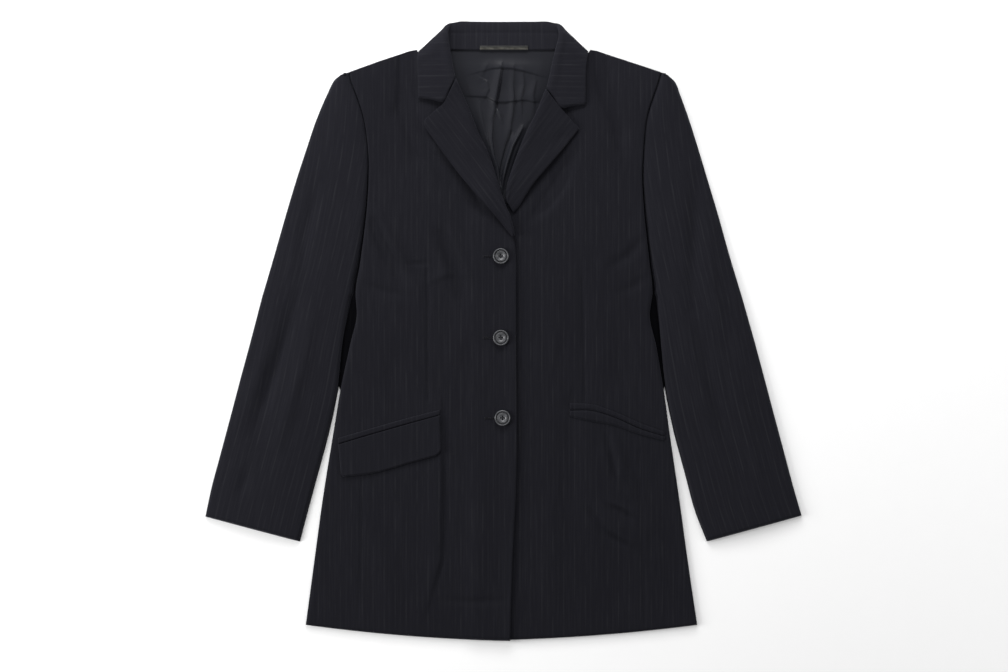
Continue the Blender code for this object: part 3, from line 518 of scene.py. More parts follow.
# %% Heights of fronts and sleeves
# each pair is where a change of height begins and where it is complete
COLLAR_BELOW = (292, 346)
COLLAR_SIDES = (104, 150)
CHEST_FILLS = (-260, 60)
SHOULDER_FILLS = (190, 290)
OVERLAP_BEGINS = (-56, -30)
LAPEL_OPENS = (185, 222)
EDGE_STANDS_OFF = (-6, 13)
EDGE_ENDS = (90, 125)
FOLDS_FROM_MIDDLE = (8, 40)
CREASES_FROM_EDGE = (2, 20)
FRONT_EDGE = 16            # x of the right front's edge


def back_top(x, y):
    """Top of the back panel, which rides up over the folded part of the collar."""
    return WALL + COLLAR_LIFT * rise(y, *COLLAR_BELOW) * (1 - rise(np.abs(x), *COLLAR_SIDES))


def pad_depth(x, y):
    """Extra thickness of the padded shoulder."""
    return PAD * mound(np.abs(x), y, *PAD_PLACE)


def front_top(x, y, right, fine=True):
    """Top of a front.  The right one lies over the left one along the overlap."""
    x = np.asarray(x, dtype=float)
    y = np.asarray(y, dtype=float)
    loft = BODY_LOFT + (CHEST_LOFT - BODY_LOFT) * rise(y, *CHEST_FILLS)
    loft += BUST_LOFT * mound(np.abs(x), y, *BUST_PLACE) + SHOULDER_LOFT * rise(y, *SHOULDER_FILLS)
    height = back_top(x, y) + loft + WALL + pad_depth(x, y)
    height += straight_folds(x, y) * rise(np.abs(x), *FOLDS_FROM_MIDDLE)
    if right:
        height += OVERLAP_LIFT * rise(x, *OVERLAP_BEGINS) * (1 - rise(y, *LAPEL_OPENS))
        height += CROSSING_LIFT * mound(x, y, *CROSSING)
        height += FRONT_EDGE_LIFT * rise(x, *EDGE_STANDS_OFF) * (1 - rise(y, *EDGE_ENDS))
    if fine:
        height += small_creases(x, y) * rise(np.abs(x - FRONT_EDGE), *CREASES_FROM_EDGE)
    return not_below(height, back_top(x, y) + LEAST_COVER, 0.5)


def front_height(x, y, right):
    """Height of a front without its small creases, at one place, as a plain number."""
    return float(front_top(x, y, right, fine=False))


def sleeve_top(x, y):
    """Top of a sleeve, fullest at its head."""
    return 2 * WALL + SLEEVE_LOFT + pad_depth(x, y) + straight_folds(x, y) + small_creases(x, y)


print("creases:", len(CREASES), " seams:", len(SEAMS))

# %% [markdown]
# Cloth as a grid
#
# Cloth is woven square, so each piece starts as a flat square grid, the way a bolt of cloth
# does.  Its corners are then moved to where the piece lies.  Each corner also keeps its place
# on the flat cloth, in metres, in the UV map: the pinstripe is woven into the flat cloth, so
# it has to be drawn there and bend with every fold.  A Solidify modifier gives the thickness.


# %% From a grid to a piece of cloth
def cloth(name, points, cut, wall, upwards=None):
    """A sheet with its corners at points[row, column] and its flat pattern in cut, both in mm."""
    rows, columns = points.shape[0] - 1, points.shape[1] - 1
    mesh = bmesh.new()
    bmesh.ops.create_grid(mesh, x_segments=columns, y_segments=rows, size=1)
    pattern = mesh.loops.layers.uv.new("cut")
    flat = {}
    for corner in mesh.verts:
        column = round((corner.co.x + 1) / 2 * columns)
        row = round((corner.co.y + 1) / 2 * rows)
        flat[corner] = cut[row, column] * MM
        corner.co = Vector(points[row, column]) * MM
    for face in mesh.faces:
        for loop in face.loops:
            loop[pattern].uv = flat[loop.vert]
    mesh.normal_update()
    seen = [face for face in mesh.faces if upwards is None or upwards(face.calc_center_median())]
    if sum(face.normal.z * face.calc_area() for face in seen) < 0:
        bmesh.ops.reverse_faces(mesh, faces=mesh.faces[:])
    data = bpy.data.meshes.new(name)
    mesh.to_mesh(data)
    mesh.free()
    data.shade_smooth()
    piece = bpy.data.objects.new(name, data)
    bpy.context.scene.collection.objects.link(piece)
    if wall:
        solid = piece.modifiers.new("wall", "SOLIDIFY")
        solid.thickness = wall * MM
        solid.offset = -1
    print(name, "squares", rows * columns)
    return piece


def rounded(distance, turn):
    """Height of a soft edge, 0 at the edge itself and 1 from turn inwards."""
    t = np.clip(distance / turn, 0, 1)
    return np.sqrt(1 - (1 - t) ** 2)


TURNED = 1 - np.sin(np.radians((90, 75, 60, 45, 30, 15)))      # places round a turned edge


def steps(length, spacing, turn_in, turn_out):
    """Distances across a section, closer together where its edges turn down."""
    count = int((length - turn_in - turn_out) / spacing) + 1
    parts = [TURNED * turn_in] if turn_in else []
    parts.append(np.linspace(turn_in, length - turn_out, count))
    if turn_out:
        parts.append(length - (TURNED * turn_out)[::-1])
    return np.concatenate(parts)


# %% [markdown]
# The two fronts
#
# A front runs from hem to shoulder, from the overlap to the side fold and the armhole.  It is
# sewn to the sleeve with the seam pressed under, so its edge turns down there.  Lofting
# between sections keeps the outline of the cutting table, and the height comes from the layers
# below and the creases.

# %% Edges of the fronts
SIDE_TURN = 3.4            # how far in an edge starts to turn down
SEAM_TURN = 2.3
FRONT_WALL = 1.4
TURNED_ROWS = 1 - np.sin(np.radians((0, 15, 30, 45, 60, 75, 90)))
# top edge of back and fronts: two shoulders and, hidden by the collar, the neck
SHOULDER_X = (-200.9, -160.0, -122.0, -112.5, -108.0, -98.0, -78.7, -66.0,
              66.0, 78.7, 98.0, 108.0, 112.5, 122.0, 160.0, 204.8)
SHOULDER_Y = (336.0, 351.0, 363.6, 365.0, 357.6, 356.0, 361.0, 365.3,
              365.3, 361.0, 356.0, 357.6, 365.0, 363.6, 351.0, 336.0)
# how far body and sleeve each draw back from their seam, at these levels
GAP_LEVELS = (-20, 40, 60, 118, 170, 222, 270)
GAP_WIDTHS = (0.0, 2.4, 2.4, 1.5, 1.0, 0.5, 0.0)


def seam_depth(level):
    """How deep the armhole seam lies: shallow on the padded shoulder, down to the back below."""
    return 1 - 0.72 * rise(level, 110, 300)


def seam_gap(level):
    """How far body and sleeve each draw back from their seam: they open towards the wedge."""
    return np.interp(level, GAP_LEVELS, GAP_WIDTHS)


def shoulder_y(x):
    return np.interp(x, SHOULDER_X, SHOULDER_Y)


# %% Fronts
FRONT_ROWS = 254
FRONT_SPACING = 2.1        # between the corners of a section
FRONT_REACH = 250.0        # length of the section that the spacing is worked out on
HEM_SAG = 3.8              # how far the hem curves down between its ends
HEM_TO, HEM_LEVELS = -200, (-402, -300)
SHOULDER_LEVELS = (200, TOP_LEVEL)


def front_points(table, right):
    """Corners and flat pattern of a front."""
    levels = np.linspace(table[0][1], TOP_LEVEL - 3.0, FRONT_ROWS)
    last = np.array(table[-1])
    top_slope = (last[3] - last[1]) / (last[2] - last[0])
    rows = []
    cut = []
    unit = steps(FRONT_REACH, FRONT_SPACING, 0.0, SEAM_TURN)
    edge_in = FRONT_REACH - unit
    for number, level in enumerate([*levels, *([TOP_LEVEL] * len(TURNED_ROWS))]):
        inset = SEAM_TURN * TURNED_ROWS[number - FRONT_ROWS] if number >= FRONT_ROWS else None
        start_x, start_y, end_x, end_y = read_table(table, 1, level)
        end_x -= math.copysign(seam_gap(level), end_x)
        length = math.hypot(end_x - start_x, end_y - start_y)
        turn = SEAM_TURN + 3.0 * (1 - float(rise(level, 60, 230)))
        share = np.where(edge_in < SEAM_TURN - 1e-6, 1 - edge_in / SEAM_TURN * turn / length,
                         unit / (FRONT_REACH - SEAM_TURN) * (1 - turn / length))
        x = start_x + (end_x - start_x) * share
        y = start_y + (end_y - start_y) * share
        if level < HEM_TO:
            y -= HEM_SAG * 4 * share * (1 - share) * (1 - rise(level, *HEM_LEVELS))
        else:
            chord = last[1] + top_slope * (x - last[0])
            y += (shoulder_y(x) - chord) * rise(level, *SHOULDER_LEVELS)
        drop = 1 - seam_depth(level) * (1 - rounded((1 - share) * length, turn))
        if inset is not None:
            y -= inset
            drop = drop * rounded(inset, SEAM_TURN)
        drop = drop * (0.35 + 0.65 * rounded(level - table[0][1], 3.0))      # the hem turns down
        base = back_top(x, y) + SEAM_REST
        height = base + (front_top(x, y, right) - base) * drop
        rows.append(np.column_stack((x, y, height)))
        cut.append(np.column_stack((x, y)))
    return np.array(rows), np.array(cut)


pieces = {}
for name, table, right in (("front_right", RIGHT_FRONT, True), ("front_left", LEFT_FRONT, False)):
    points, cut = front_points(table, right)
    pieces[name] = cloth(name + "_cloth", points, cut, FRONT_WALL)

# %% [markdown]
# The sleeves
#
# Each sleeve is a flattened tube of two pieces: the topsleeve, which shows, and the undersleeve,
# which lies on the table.  The topsleeve turns down at both long folds.  Its stripes run along
# the arm, so its flat pattern is measured along and across the sleeve, not on the table.


# %% Sections of a sleeve
ARMHOLE_GAP = 0.15
ARM_ROWS = 110             # sections below the armhole
HEAD_ROWS = 112            # sections beside the armhole
HEAD_FROM = 50.5


def sleeve_sections(lower, head, front):
    """Inner and outer end of each section, from the cuff up to the sleeve head."""
    sections = []
    sign = 1 if front[0][2] > 0 else -1
    for level in np.linspace(lower[0][1], lower[-1][1], ARM_ROWS):
        section = np.array(read_table(lower, 1, level))
        section[0] += sign * seam_gap(level)
        sections.append(section)
    for level in np.linspace(HEAD_FROM, TOP_LEVEL, HEAD_ROWS):
        side_x, side_y = read_table(front, 1, level)[2:4]
        outer_x, outer_y = read_table(head, 0, level)[1:3]
        gap = ARMHOLE_GAP + seam_gap(level)
        sections.append(np.array((side_x + sign * gap, side_y, outer_x, outer_y)))
    return np.array(sections)


# %% Topsleeves
SLEEVE_WALL = 1.4
SLEEVE_BASE = 1.5
SLEEVE_CROWN = 3.4         # a sleeve is a tube: it is higher along its middle
SLEEVE_SPACING = 2.6
SLEEVE_REACH = 110.0       # length of the section that the spacing is worked out on
HEAD_STEP = 0.5            # between the rows of the flat pattern where the head turns under


def over_sleeve(unit, length, turn):
    """The places on a section of this length, with its two turned edges kept at their width."""
    flat = (unit - SIDE_TURN) / (SLEEVE_REACH - 2 * SIDE_TURN) * (length - 2 * turn)
    far = length - (SLEEVE_REACH - unit) / SIDE_TURN * turn
    return np.where(unit < SIDE_TURN, unit / SIDE_TURN * turn,
                    np.where(unit > SLEEVE_REACH - SIDE_TURN, far, turn + flat))


def sleeve_points(sections):
    """Corners and flat pattern of a topsleeve."""
    unit = steps(SLEEVE_REACH, SLEEVE_SPACING, SIDE_TURN, SIDE_TURN)
    centre = (sections[:, :2] + sections[:, 2:]) / 2
    along = np.concatenate(([0], np.cumsum(np.linalg.norm(np.diff(centre, axis=0), axis=1))))
    last = len(sections) - 1
    rows = []
    cut = []
    for number in range(last + len(TURNED_ROWS)):
        section = sections[min(number, last)]
        start, end = section[:2], section[2:]
        length = np.linalg.norm(end - start)
        turn = min(SIDE_TURN + 1.2, length * 0.3)
        scaled = over_sleeve(unit, length, turn)
        point = start + (end - start) * (scaled / length)[:, None]
        x, y = point[:, 0], point[:, 1].copy()
        drop = 1 - seam_depth(start[1]) * (1 - rounded(scaled, turn))
        drop = drop * rounded(length - scaled, turn)
        if number >= last:
            inset = SEAM_TURN * TURNED_ROWS[number - last]
            y -= inset
            drop = drop * rounded(inset, SEAM_TURN)
        cuff = 0.45 + 0.55 * rounded(along[min(number, last)], 3.0)
        crown = SLEEVE_CROWN * (4 * scaled / length * (1 - scaled / length)) ** 0.8
        height = SLEEVE_BASE + (sleeve_top(x, y) - 1.4 + crown - SLEEVE_BASE) * drop * cuff
        rows.append(np.column_stack((x, y, height)))
        up = along[min(number, last)] + max(0, number - last) * HEAD_STEP
        cut.append(np.column_stack((scaled - length / 2, np.full(len(unit), up))))
    return np.array(rows), np.array(cut)


# %% Both sleeves
UNDERSLEEVE_TOP = 1.3
UNDERSLEEVE_WALL = 1.25


def undersleeve_points(sections):
    """Corners and flat pattern of an undersleeve, which lies flat on the table."""
    ends = sections[::4]
    width = np.linalg.norm(ends[:, 2:] - ends[:, :2], axis=1)[:, None, None]
    share = np.linspace(0, 1, 9)[None, :, None] * (1 - 0.1 / width) - 1.0 / width
    flat = ends[:, None, :2] * (1 - share) + ends[:, None, 2:] * share
    level = np.full(flat.shape[:2] + (1,), UNDERSLEEVE_TOP)
    under = np.concatenate((flat, level), axis=2)
    under[:, 0, 0] -= np.sign(flat[:, 0, 0]) * np.array([seam_gap(y) for y in flat[:, 0, 1]])
    return under, flat


for side, lower, head, front in (("right", RIGHT_SLEEVE, RIGHT_SLEEVE_HEAD, RIGHT_FRONT),
                                 ("left", LEFT_SLEEVE, LEFT_SLEEVE_HEAD, LEFT_FRONT)):
    sections = sleeve_sections(lower, head, front)
    points, cut = sleeve_points(sections)
    pieces["topsleeve_" + side] = cloth(f"topsleeve_{side}_cloth", points, cut, SLEEVE_WALL)
    points, cut = undersleeve_points(sections)
    pieces["undersleeve_" + side] = cloth(f"undersleeve_{side}_cloth", points, cut, UNDERSLEEVE_WALL)

# %% [markdown]
# The back
#
# The back lies on the table and shows only from below, and as a dark floor in the narrow wedge
# between body and sleeve, where its upper side has painted shade.  It is one sheet with a seam
# down its middle.

# %% Back
BACK_SHORTER = 1.2         # the back ends this far short of the fronts' shoulder line
BACK_HEM = (1.8, 19.3)     # its hem lies higher at the sides and curves down more than the fronts'
WEDGE = (-72.0, 48.5)      # levels between which it floors the wedge beside the sleeve
BACK_WALL = 1.6
BACK_LOWER = 0.3           # below the height on which the fronts are built
SEAM_WIDTH, SEAM_SINKS = 1.6, 0.5


def back_edge(table, sleeve, sign, level):
    """Side edge of the back at a level."""
    x, y = read_table(table, 1, level)[2:4]
    if WEDGE[0] < level < WEDGE[1]:
        x = read_table(sleeve, 1, max(level, WEDGE[0]))[0] - sign * 0.3
    return x + sign * (0.35 if level > -75 else -0.5), y


def back_points():
    """Corners of the back, as wide as the fronts, and wider where it floors the wedge."""
    rows = []
    share = np.linspace(0, 1, 61)
    for level in (*np.linspace(-402, 44, 60), *np.linspace(49, TOP_LEVEL, 60)):
        left_x, left_y = back_edge(RIGHT_FRONT, RIGHT_SLEEVE, -1, level)
        right_x, right_y = back_edge(LEFT_FRONT, LEFT_SLEEVE, 1, level)
        x = left_x + (right_x - left_x) * share
        y = left_y + (right_y - left_y) * share
        if level < HEM_TO:
            hang = 1 - rise(level, *HEM_LEVELS)
            y += BACK_HEM[0] * hang - BACK_HEM[1] * 4 * share * (1 - share) * hang
        elif level > 240:
            y += (shoulder_y(x) - 336.0 - BACK_SHORTER) * rise(level, 240, TOP_LEVEL)
        height = back_top(x, y) - BACK_LOWER - SEAM_SINKS * bell(x, SEAM_WIDTH)
        rows.append(np.column_stack((x, y, height)))
    return np.array(rows)


points = back_points()
pieces["back"] = cloth("back_cloth", points, points[:, :, :2], BACK_WALL)
# the back's upper side, which shows in the wedge, gets slot 0: a painted-shade copy of the suiting
pieces["back"].modifiers["wall"].material_offset = 1
pieces["back"].modifiers["wall"].material_offset_rim = 1

# %% [markdown]
# Lining and label
#
# In the neck the satin lining of the back shows.  It is thin and slippery and lies in small
# folds: one deep pleat down its middle, which gives the wearer room to move, and soft creases
# across.  Each fold has a gentle side and a steep one, because a satin fold falls over and is
# seen as a dark line.  A round trough would shine instead.  Behind the neck a plain woven strip
# is sewn on where a label goes.

# %% Folds of the lining
LINING_STRENGTH = 1.7      # the table's heights times this
# places, width, height (below zero for a trough), and the right-hand side's share of the width
LINING_FOLDS = (
    (((-12.3, 282), (-10.5, 289), (-10.5, 297), (-7.9, 311), (-5.3, 327), (-2.5, 342)),
     7.0, 2.6, 0.13),                                                     # the pleat
    (((-10.6, 284), (-8.8, 297), (-6.2, 311), (-3.6, 327), (-1.0, 340)), 1.3, -1.5),
    (((-3.8, 184), (-7.2, 212), (-12.3, 228), (-15, 249), (-13.7, 275), (-12.3, 282)), 6.0, 2.4, 0.15),
    (((-29, 337), (-16, 341), (-3, 342), (12, 341), (28, 337.5), (43.5, 333), (51, 330.5)),
     15.0, 1.1, 0.06),
    (((-50, 306), (-34, 305), (-21.5, 304.5), (-11, 298), (2, 297.5), (15, 299), (28, 300.6),
      (41, 297.5), (51, 299)), 15.0, 1.2, 0.06),
    (((-28, 328), (-26.6, 334), (-20, 347)), 5.0, 0.4, 0.25),
    (((-24, 303), (-19, 313.6), (-21.5, 324), (-28, 328)), 6.0, 0.7, 0.15),
    (((7.2, 248.6), (9.8, 269.5), (12.4, 285), (13.6, 303), (12.4, 319), (13.6, 340)), 5.5, 1.5, 0.16),
    (((24, 284), (22.8, 300.6), (26.7, 319), (25.4, 337)), 5.0, 1.1, 0.18),
    (((40, 290), (38, 306), (42, 326)), 6.0, 0.9, 0.3),
    (((-0.7, 273), (-4, 281), (-9.8, 289)), 3.0, 0.9, 0.2),
    (((-20, 240), (-27, 270), (-32, 296)), 6.0, 1.3, 0.3),
    (((-2.7, 180), (-0.7, 196.6), (4.6, 217.4), (12.4, 240.8), (24.8, 264)), 3.4, 2.6, 0.6),   # ridge
    (((10, 258), (5, 240), (-1.5, 214), (-5, 190)), 2.2, -2.4),
    (((34, 270), (24, 246), (13, 216), (4, 184)), 2.2, -1.0),
)


# %% Lining
LINING_LEVELS = (367.0, 160.0)     # its upper edge lies under the collar's stand
LINING_ROWS = 212
LINING_SHOWS = ((170, 330), (10, 62))      # levels, and how wide it shows to each side there
LINING_THIN = 0.5
LINING_PUFF = 1.1


def lining_points():
    """Corners of the lining, with its folds flattened where the fronts cover it."""
    rows = []
    for level in np.linspace(*LINING_LEVELS, LINING_ROWS):
        left_x, right_x = read_table(LINING, 0, min(level, LINING[0][0]))[1:3]
        shows = float(np.interp(level, *LINING_SHOWS))
        x = np.concatenate((np.linspace(left_x, -shows, 10, endpoint=False),
                            np.linspace(-shows, shows, 132), np.linspace(shows, right_x, 11)[1:]))
        y = np.full(len(x), level)
        free = 1 - rise(np.abs(x), shows * 0.75, shows)
        height = back_top(x, y) + LINING_GAP + LINING_WALL + LINING_PUFF * free * (1 - rise(y, 290, 364))
        free = free * (1 - rise(y, 344, 360))
        for fold in LINING_FOLDS:
            height = height + LINING_STRENGTH * crease(x, y, *fold) * free
        height = not_below(height, back_top(x, y) + 0.8, 0.3)
        rows.append(np.column_stack((x, y, height)))
    return np.array(rows)


points = lining_points()
pieces["lining_back"] = cloth("lining_cloth", points, points[:, :, :2], LINING_THIN)

# %% Label
LABEL_EDGES = (-30.6, 364.4, 31.8, 369.8)      # left, lower, right and upper
LABEL_TOP = 8.9
LABEL_WALL = 0.7


def label_points():
    """Corners of the label's strip, with ends that turn down and a slight wave."""
    left, lower, right, upper = LABEL_EDGES
    x, y = np.meshgrid(np.linspace(left, right, 60), np.linspace(lower, upper, 12))
    end = np.minimum(np.abs(x - left), np.abs(right - x))
    height = LABEL_TOP - 0.35 + 0.35 * rounded(end, 1.2) + 0.12 * np.sin(x * 0.31 + y)
    return np.stack((x, y, height), axis=2)


points = label_points()
pieces["label"] = cloth("label_cloth", points, points[:, :, :2], LABEL_WALL)

# %% [markdown]
# Lapels and collar
#
# Lapels and collar are cloth folded over itself at the roll line.  A section across one is a
# hairpin: the part that shows, a small round roll, and a foot that goes on under it.  A few
# sections follow the pattern, and a smooth curve through them in both directions gives the
# fine cloth.  Sharp folds would look like paper, so the roll keeps its radius.


# %% Sections of folded cloth
def smooth_through(points, parts, axis):
    """More points along one axis, on a smooth curve through the given ones."""
    points = np.moveaxis(points, axis, 0)
    gaps = np.linalg.norm(np.diff(points, axis=0), axis=-1)
    keys = np.concatenate(([0], np.cumsum(gaps.reshape(len(gaps), -1).mean(axis=1))))
    slopes = np.gradient(points, keys, axis=0)
    out = []
    for at, count in enumerate(parts):
        span = keys[at + 1] - keys[at]
        for t in np.arange(count) / count:
            out.append(smooth_between(t, span, points[at], points[at + 1], slopes[at], slopes[at + 1]))
    out.append(points[-1])
    return np.moveaxis(np.array(out), 0, axis)


def hairpin(*places, radius, turn=0.0, outward=(0, 0, 0)):
    """Outer side of a folded section: its edge, middle, roll and foot, with a round roll that is
    turned outwards where the section stands on its side."""
    edge, middle, roll, foot, outward = (np.array(place, dtype=float) for place in (*places, outward))
    tip = roll - middle
    tip[2] = 0
    tip /= np.linalg.norm(tip)
    angle = math.radians(turn)
    normal = np.array((0, 0, math.cos(angle))) + outward * math.sin(angle)
    centre = roll - tip * radius - outward * (radius * math.sin(angle))
    over = [centre + (normal * math.cos(a) + tip * math.sin(a)) * radius
            for a in np.radians((0, 45, 90, 135, 180))]
    return np.array([edge, (edge + middle) / 2, middle, (middle + over[0]) / 2, *over,
                     (over[-1] + foot) / 2, foot])


def along_sections(points):
    """How far each corner is from the first one of its section, along the cloth."""
    gaps = np.linalg.norm(np.diff(points, axis=1), axis=2)
    return np.concatenate((np.zeros((len(points), 1)), np.cumsum(gaps, axis=1)), axis=1)


# %% Sections of a lapel
LAPEL_PARTS = (7, 7, 7, 7, 3, 3, 3, 3, 2, 3)     # finer steps in each part of a hairpin
LAPEL_SECTIONS = 12
FOOT = 3.5                 # how far the cloth goes on under the roll
LAPEL_STANDS = {True: 5.0, False: 2.6}      # how far the free edge stands off, right and left
STANDS_AT = (0.42, 0.17)   # where along the lapel it stands off most, and for how long


def lapel_sections(table, right):
    """Sections of a lapel from its lower end up, raised on the front that it lies on."""
    sections = []
    for share in np.arange(LAPEL_SECTIONS + 1) / LAPEL_SECTIONS:
        edge_x, edge_y, middle_x, middle_y, roll_x, roll_y, radius = read_rows(table, share)
        stands = LAPEL_STANDS[right] * bell(share - STANDS_AT[0], STANDS_AT[1])
        edge_z = front_height(edge_x, edge_y, right) + WALL + REST_GAP + stands
        under = front_height(roll_x, roll_y, right) + REST_GAP
        middle_z = (edge_z + under + 2 * radius) / 2 + 0.5
        back = np.array((middle_x - roll_x, middle_y - roll_y))
        reach = radius + FOOT * (0.5 + 0.5 * float(rise(share, 0.2, 0.5)))
        reach = min(reach, 0.8 * math.hypot(roll_x - edge_x, roll_y - edge_y))
        foot = np.array((roll_x, roll_y)) + back / np.linalg.norm(back) * reach
        sections.append(hairpin((edge_x, edge_y, edge_z), (middle_x, middle_y, middle_z),
                                (roll_x, roll_y, under + radius), (*foot, under), radius=radius))
    return np.array(sections)


# %% Lapels
FOLDED_WALL = 1.7
LAPEL_LEAN = 37.0          # degrees between the lapels' stripes and those of the fronts
EDGE_DIPS = 0.35
# soft creases of the lapels: places, width, depth
LAPEL_CREASES = (
    (((-72, 268), (-58, 240), (-38, 212)), 7.0, -0.5),
    (((-50, 296), (-40, 262), (-20, 228)), 6.0, 0.45),
    (((-86, 262), (-74, 250)), 6.0, -0.4),
    (((-24, 176), (-6, 160), (4, 148)), 5.0, -0.5),
    (((66, 262), (52, 236), (34, 206)), 7.0, -0.5),
    (((46, 282), (36, 250), (20, 222)), 6.0, 0.45),
    (((82, 256), (70, 246)), 6.0, -0.4),
)


def settled(points):
    """The lapel with its free edge dipping, a seam raised just inside it, and its creases."""
    points = points.copy()
    inward = along_sections(points)
    points[:, :, 2] -= EDGE_DIPS * (1 - rise(inward, 0, 2.2))
    points[:, :, 2] += 0.16 * bell(inward - 3.2, 1.6)
    shown = np.arange(points.shape[1])[None, :] < sum(LAPEL_PARTS[:4])
    for places, width, depth in LAPEL_CREASES:
        distance, along = line_distance(points[:, :, 0], points[:, :, 1], places)
        fade = np.sin(np.pi * np.clip(along * 0.9 + 0.05, 0, 1)) * rise(inward, 1, 8)
        points[:, :, 2] += depth * fade * bell(distance, width) * shown
    return points


def turned_cut(points, degrees):
    """The flat pattern of a lapel: its place on the table, turned so that the stripes run true."""
    angle = math.radians(degrees)
    x, y = points[:, :, 0], points[:, :, 1]
    return np.stack((x * math.cos(angle) + y * math.sin(angle),
                     y * math.cos(angle) - x * math.sin(angle)), axis=2)


for name, table, right in (("lapel_right", RIGHT_LAPEL, True), ("lapel_left", LEFT_LAPEL, False)):
    points = smooth_through(lapel_sections(table, right), (7,) * LAPEL_SECTIONS, 0)
    points = settled(smooth_through(points, LAPEL_PARTS, 1))
    cut = turned_cut(points, LAPEL_LEAN if right else -LAPEL_LEAN)
    pieces[name] = cloth(name + "_cloth", points, cut, FOLDED_WALL)


# %% Sections of the collar
def collar_section(row):
    """One section of the collar from its table row."""
    (edge_x, edge_y, middle_x, middle_y, roll_x, roll_y, neck_x, neck_y,
     edge_z, roll_z, neck_z, radius, turn) = row
    right = roll_x < 0
    if edge_z == 0 and turn < 1:
        edge_z = front_height(edge_x, edge_y, right) + WALL + REST_GAP
        neck_z = front_height(neck_x, neck_y, right) + REST_GAP
        roll_z = neck_z + radius
    across = np.array((roll_x - edge_x, roll_y - edge_y))
    outward = np.array((across[1], -across[0], 0.0))
    outward /= np.linalg.norm(outward)
    if right:
        outward = -outward
    fall_z = roll_z + radius * math.cos(math.radians(turn))
    crown = 0.4 if turn == 0 else 0.0
    return hairpin((edge_x, edge_y, edge_z), (middle_x, middle_y, (edge_z + fall_z) / 2 + crown),
                   (roll_x, roll_y, roll_z), (neck_x, neck_y, neck_z),
                   radius=radius, turn=turn, outward=outward)


# %% [markdown]
# The collar is one band.  On the falls its stripes run across the body, and on the stand they
# run up the neck.  So the flat pattern takes its length from the height on the falls, and from
# the place across the body behind the neck, and blends the two where the band turns.  A stitched
# line sinks in along the stand.

# %% Collar
COLLAR_PARTS = (6, 6, 6, 6, 3, 3, 3, 3, 10, 10)
COLLAR_STEPS = 6           # rows from one section of the tables to the next
CORNER_LINE = 451.0        # turns a height on the falls into a length along the band
TURNS_BEHIND, TURNS_BACK = (3.5, 6.5), (11.5, 14.5)      # counted in sections of the tables
MIDDLE_SECTION = 9
STITCHED_LINE, STITCHED_WIDTH, STITCHED_DEPTH = 387, 1.2, 1.0

sections = [collar_section(row) for row in (*RIGHT_COLLAR, *reversed(LEFT_COLLAR))]
points = smooth_through(np.array(sections), (COLLAR_STEPS,) * (len(sections) - 1), 0)
points = smooth_through(points, COLLAR_PARTS, 1)
roll_column = sum(COLLAR_PARTS[:6])
section = np.arange(len(points))[:, None] / COLLAR_STEPS
behind = rise(section, *TURNS_BEHIND) * (1 - rise(section, *TURNS_BACK))
on_falls = np.where(section < MIDDLE_SECTION, -1, 1) * (CORNER_LINE - points[:, :, 1])
across = along_sections(points)
cut = np.stack((behind * points[:, :, 0] + (1 - behind) * on_falls,
                across - across[:, roll_column][:, None]), axis=2)
stand = np.arange(points.shape[1])[None, :] > roll_column + 10
sunk = STITCHED_DEPTH * bell(points[:, :, 1] - STITCHED_LINE, STITCHED_WIDTH)
points[:, :, 2] = np.maximum(points[:, :, 2] - behind * stand * sunk, 0.0)
pieces["collar"] = cloth("collar_cloth", points, cut, FOLDED_WALL, lambda middle: middle.y < 0.340)
print("collar band is", round(float(np.ptp(cut[:, roll_column, 0]))), "mm long at its roll")

# %% [markdown]
# Pockets
#
# The wearer's right pocket has its flap out under a narrow welt.  On the left the flap is
# tucked in, so that the slanted mouth shows between two welts.  All of them are narrow folded
# strips sewn on a front, so they take the front's height and lie just above it.


# %% Welts
WELT_WALL = 1.0
WELT_BULGE = 1.1
MOUTH, UPPER, LOWER = 1, 2, 3      # columns of the pocket tables


def strip_points(table, upper, lower, right):
    """Corners of a welt, crowned across its width.  upper and lower are each a column of the
    pocket table and how far above that line the welt's edge lies."""
    x = np.linspace(table[0][0], table[-1][0], 110)
    lines = np.array([read_table(table, 0, value) for value in x])
    top = lines[:, upper[0]] + upper[1]
    bottom = lines[:, lower[0]] + lower[1]
    end = rounded(np.minimum(x - x[0], x[-1] - x), 1.5)
    rows = []
    for share in np.linspace(0, 1, 9):
        y = bottom + (top - bottom) * share
        edge = rounded(min(share, 1 - share) * 6.0, 1.8)
        height = front_top(x, y, right) + REST_GAP + 0.25 + WELT_BULGE * edge * (0.3 + 0.7 * end)
        rows.append(np.column_stack((x, y, height, y - top)))
    return np.array(rows)


for name, table, upper, lower in (
        ("jet_right_upper", RIGHT_POCKET, (UPPER, 0.0), (MOUTH, 0.6)),
        ("jet_left_upper", LEFT_POCKET, (UPPER, 0.0), (MOUTH, 0.8)),
        ("jet_left_lower", LEFT_POCKET, (MOUTH, -0.8), (LOWER, 0.0))):
    points = strip_points(table, upper, lower, table is RIGHT_POCKET)
    pieces[name] = cloth(name + "_cloth", points[:, :, :3], points[:, :, ::3], WELT_WALL)

# %% Flap
FLAP_WALL = 1.6
FLAP_WIDTH = 132
FLAP_CORNERS = (5.0, 9.0)      # radius of the outer and the inner corner
FLAP_SLANT = (3.6, 1.5)        # how far the ends slant inwards on their way down
FLAP_LIFT = 0.5                # its free edge stands off a little


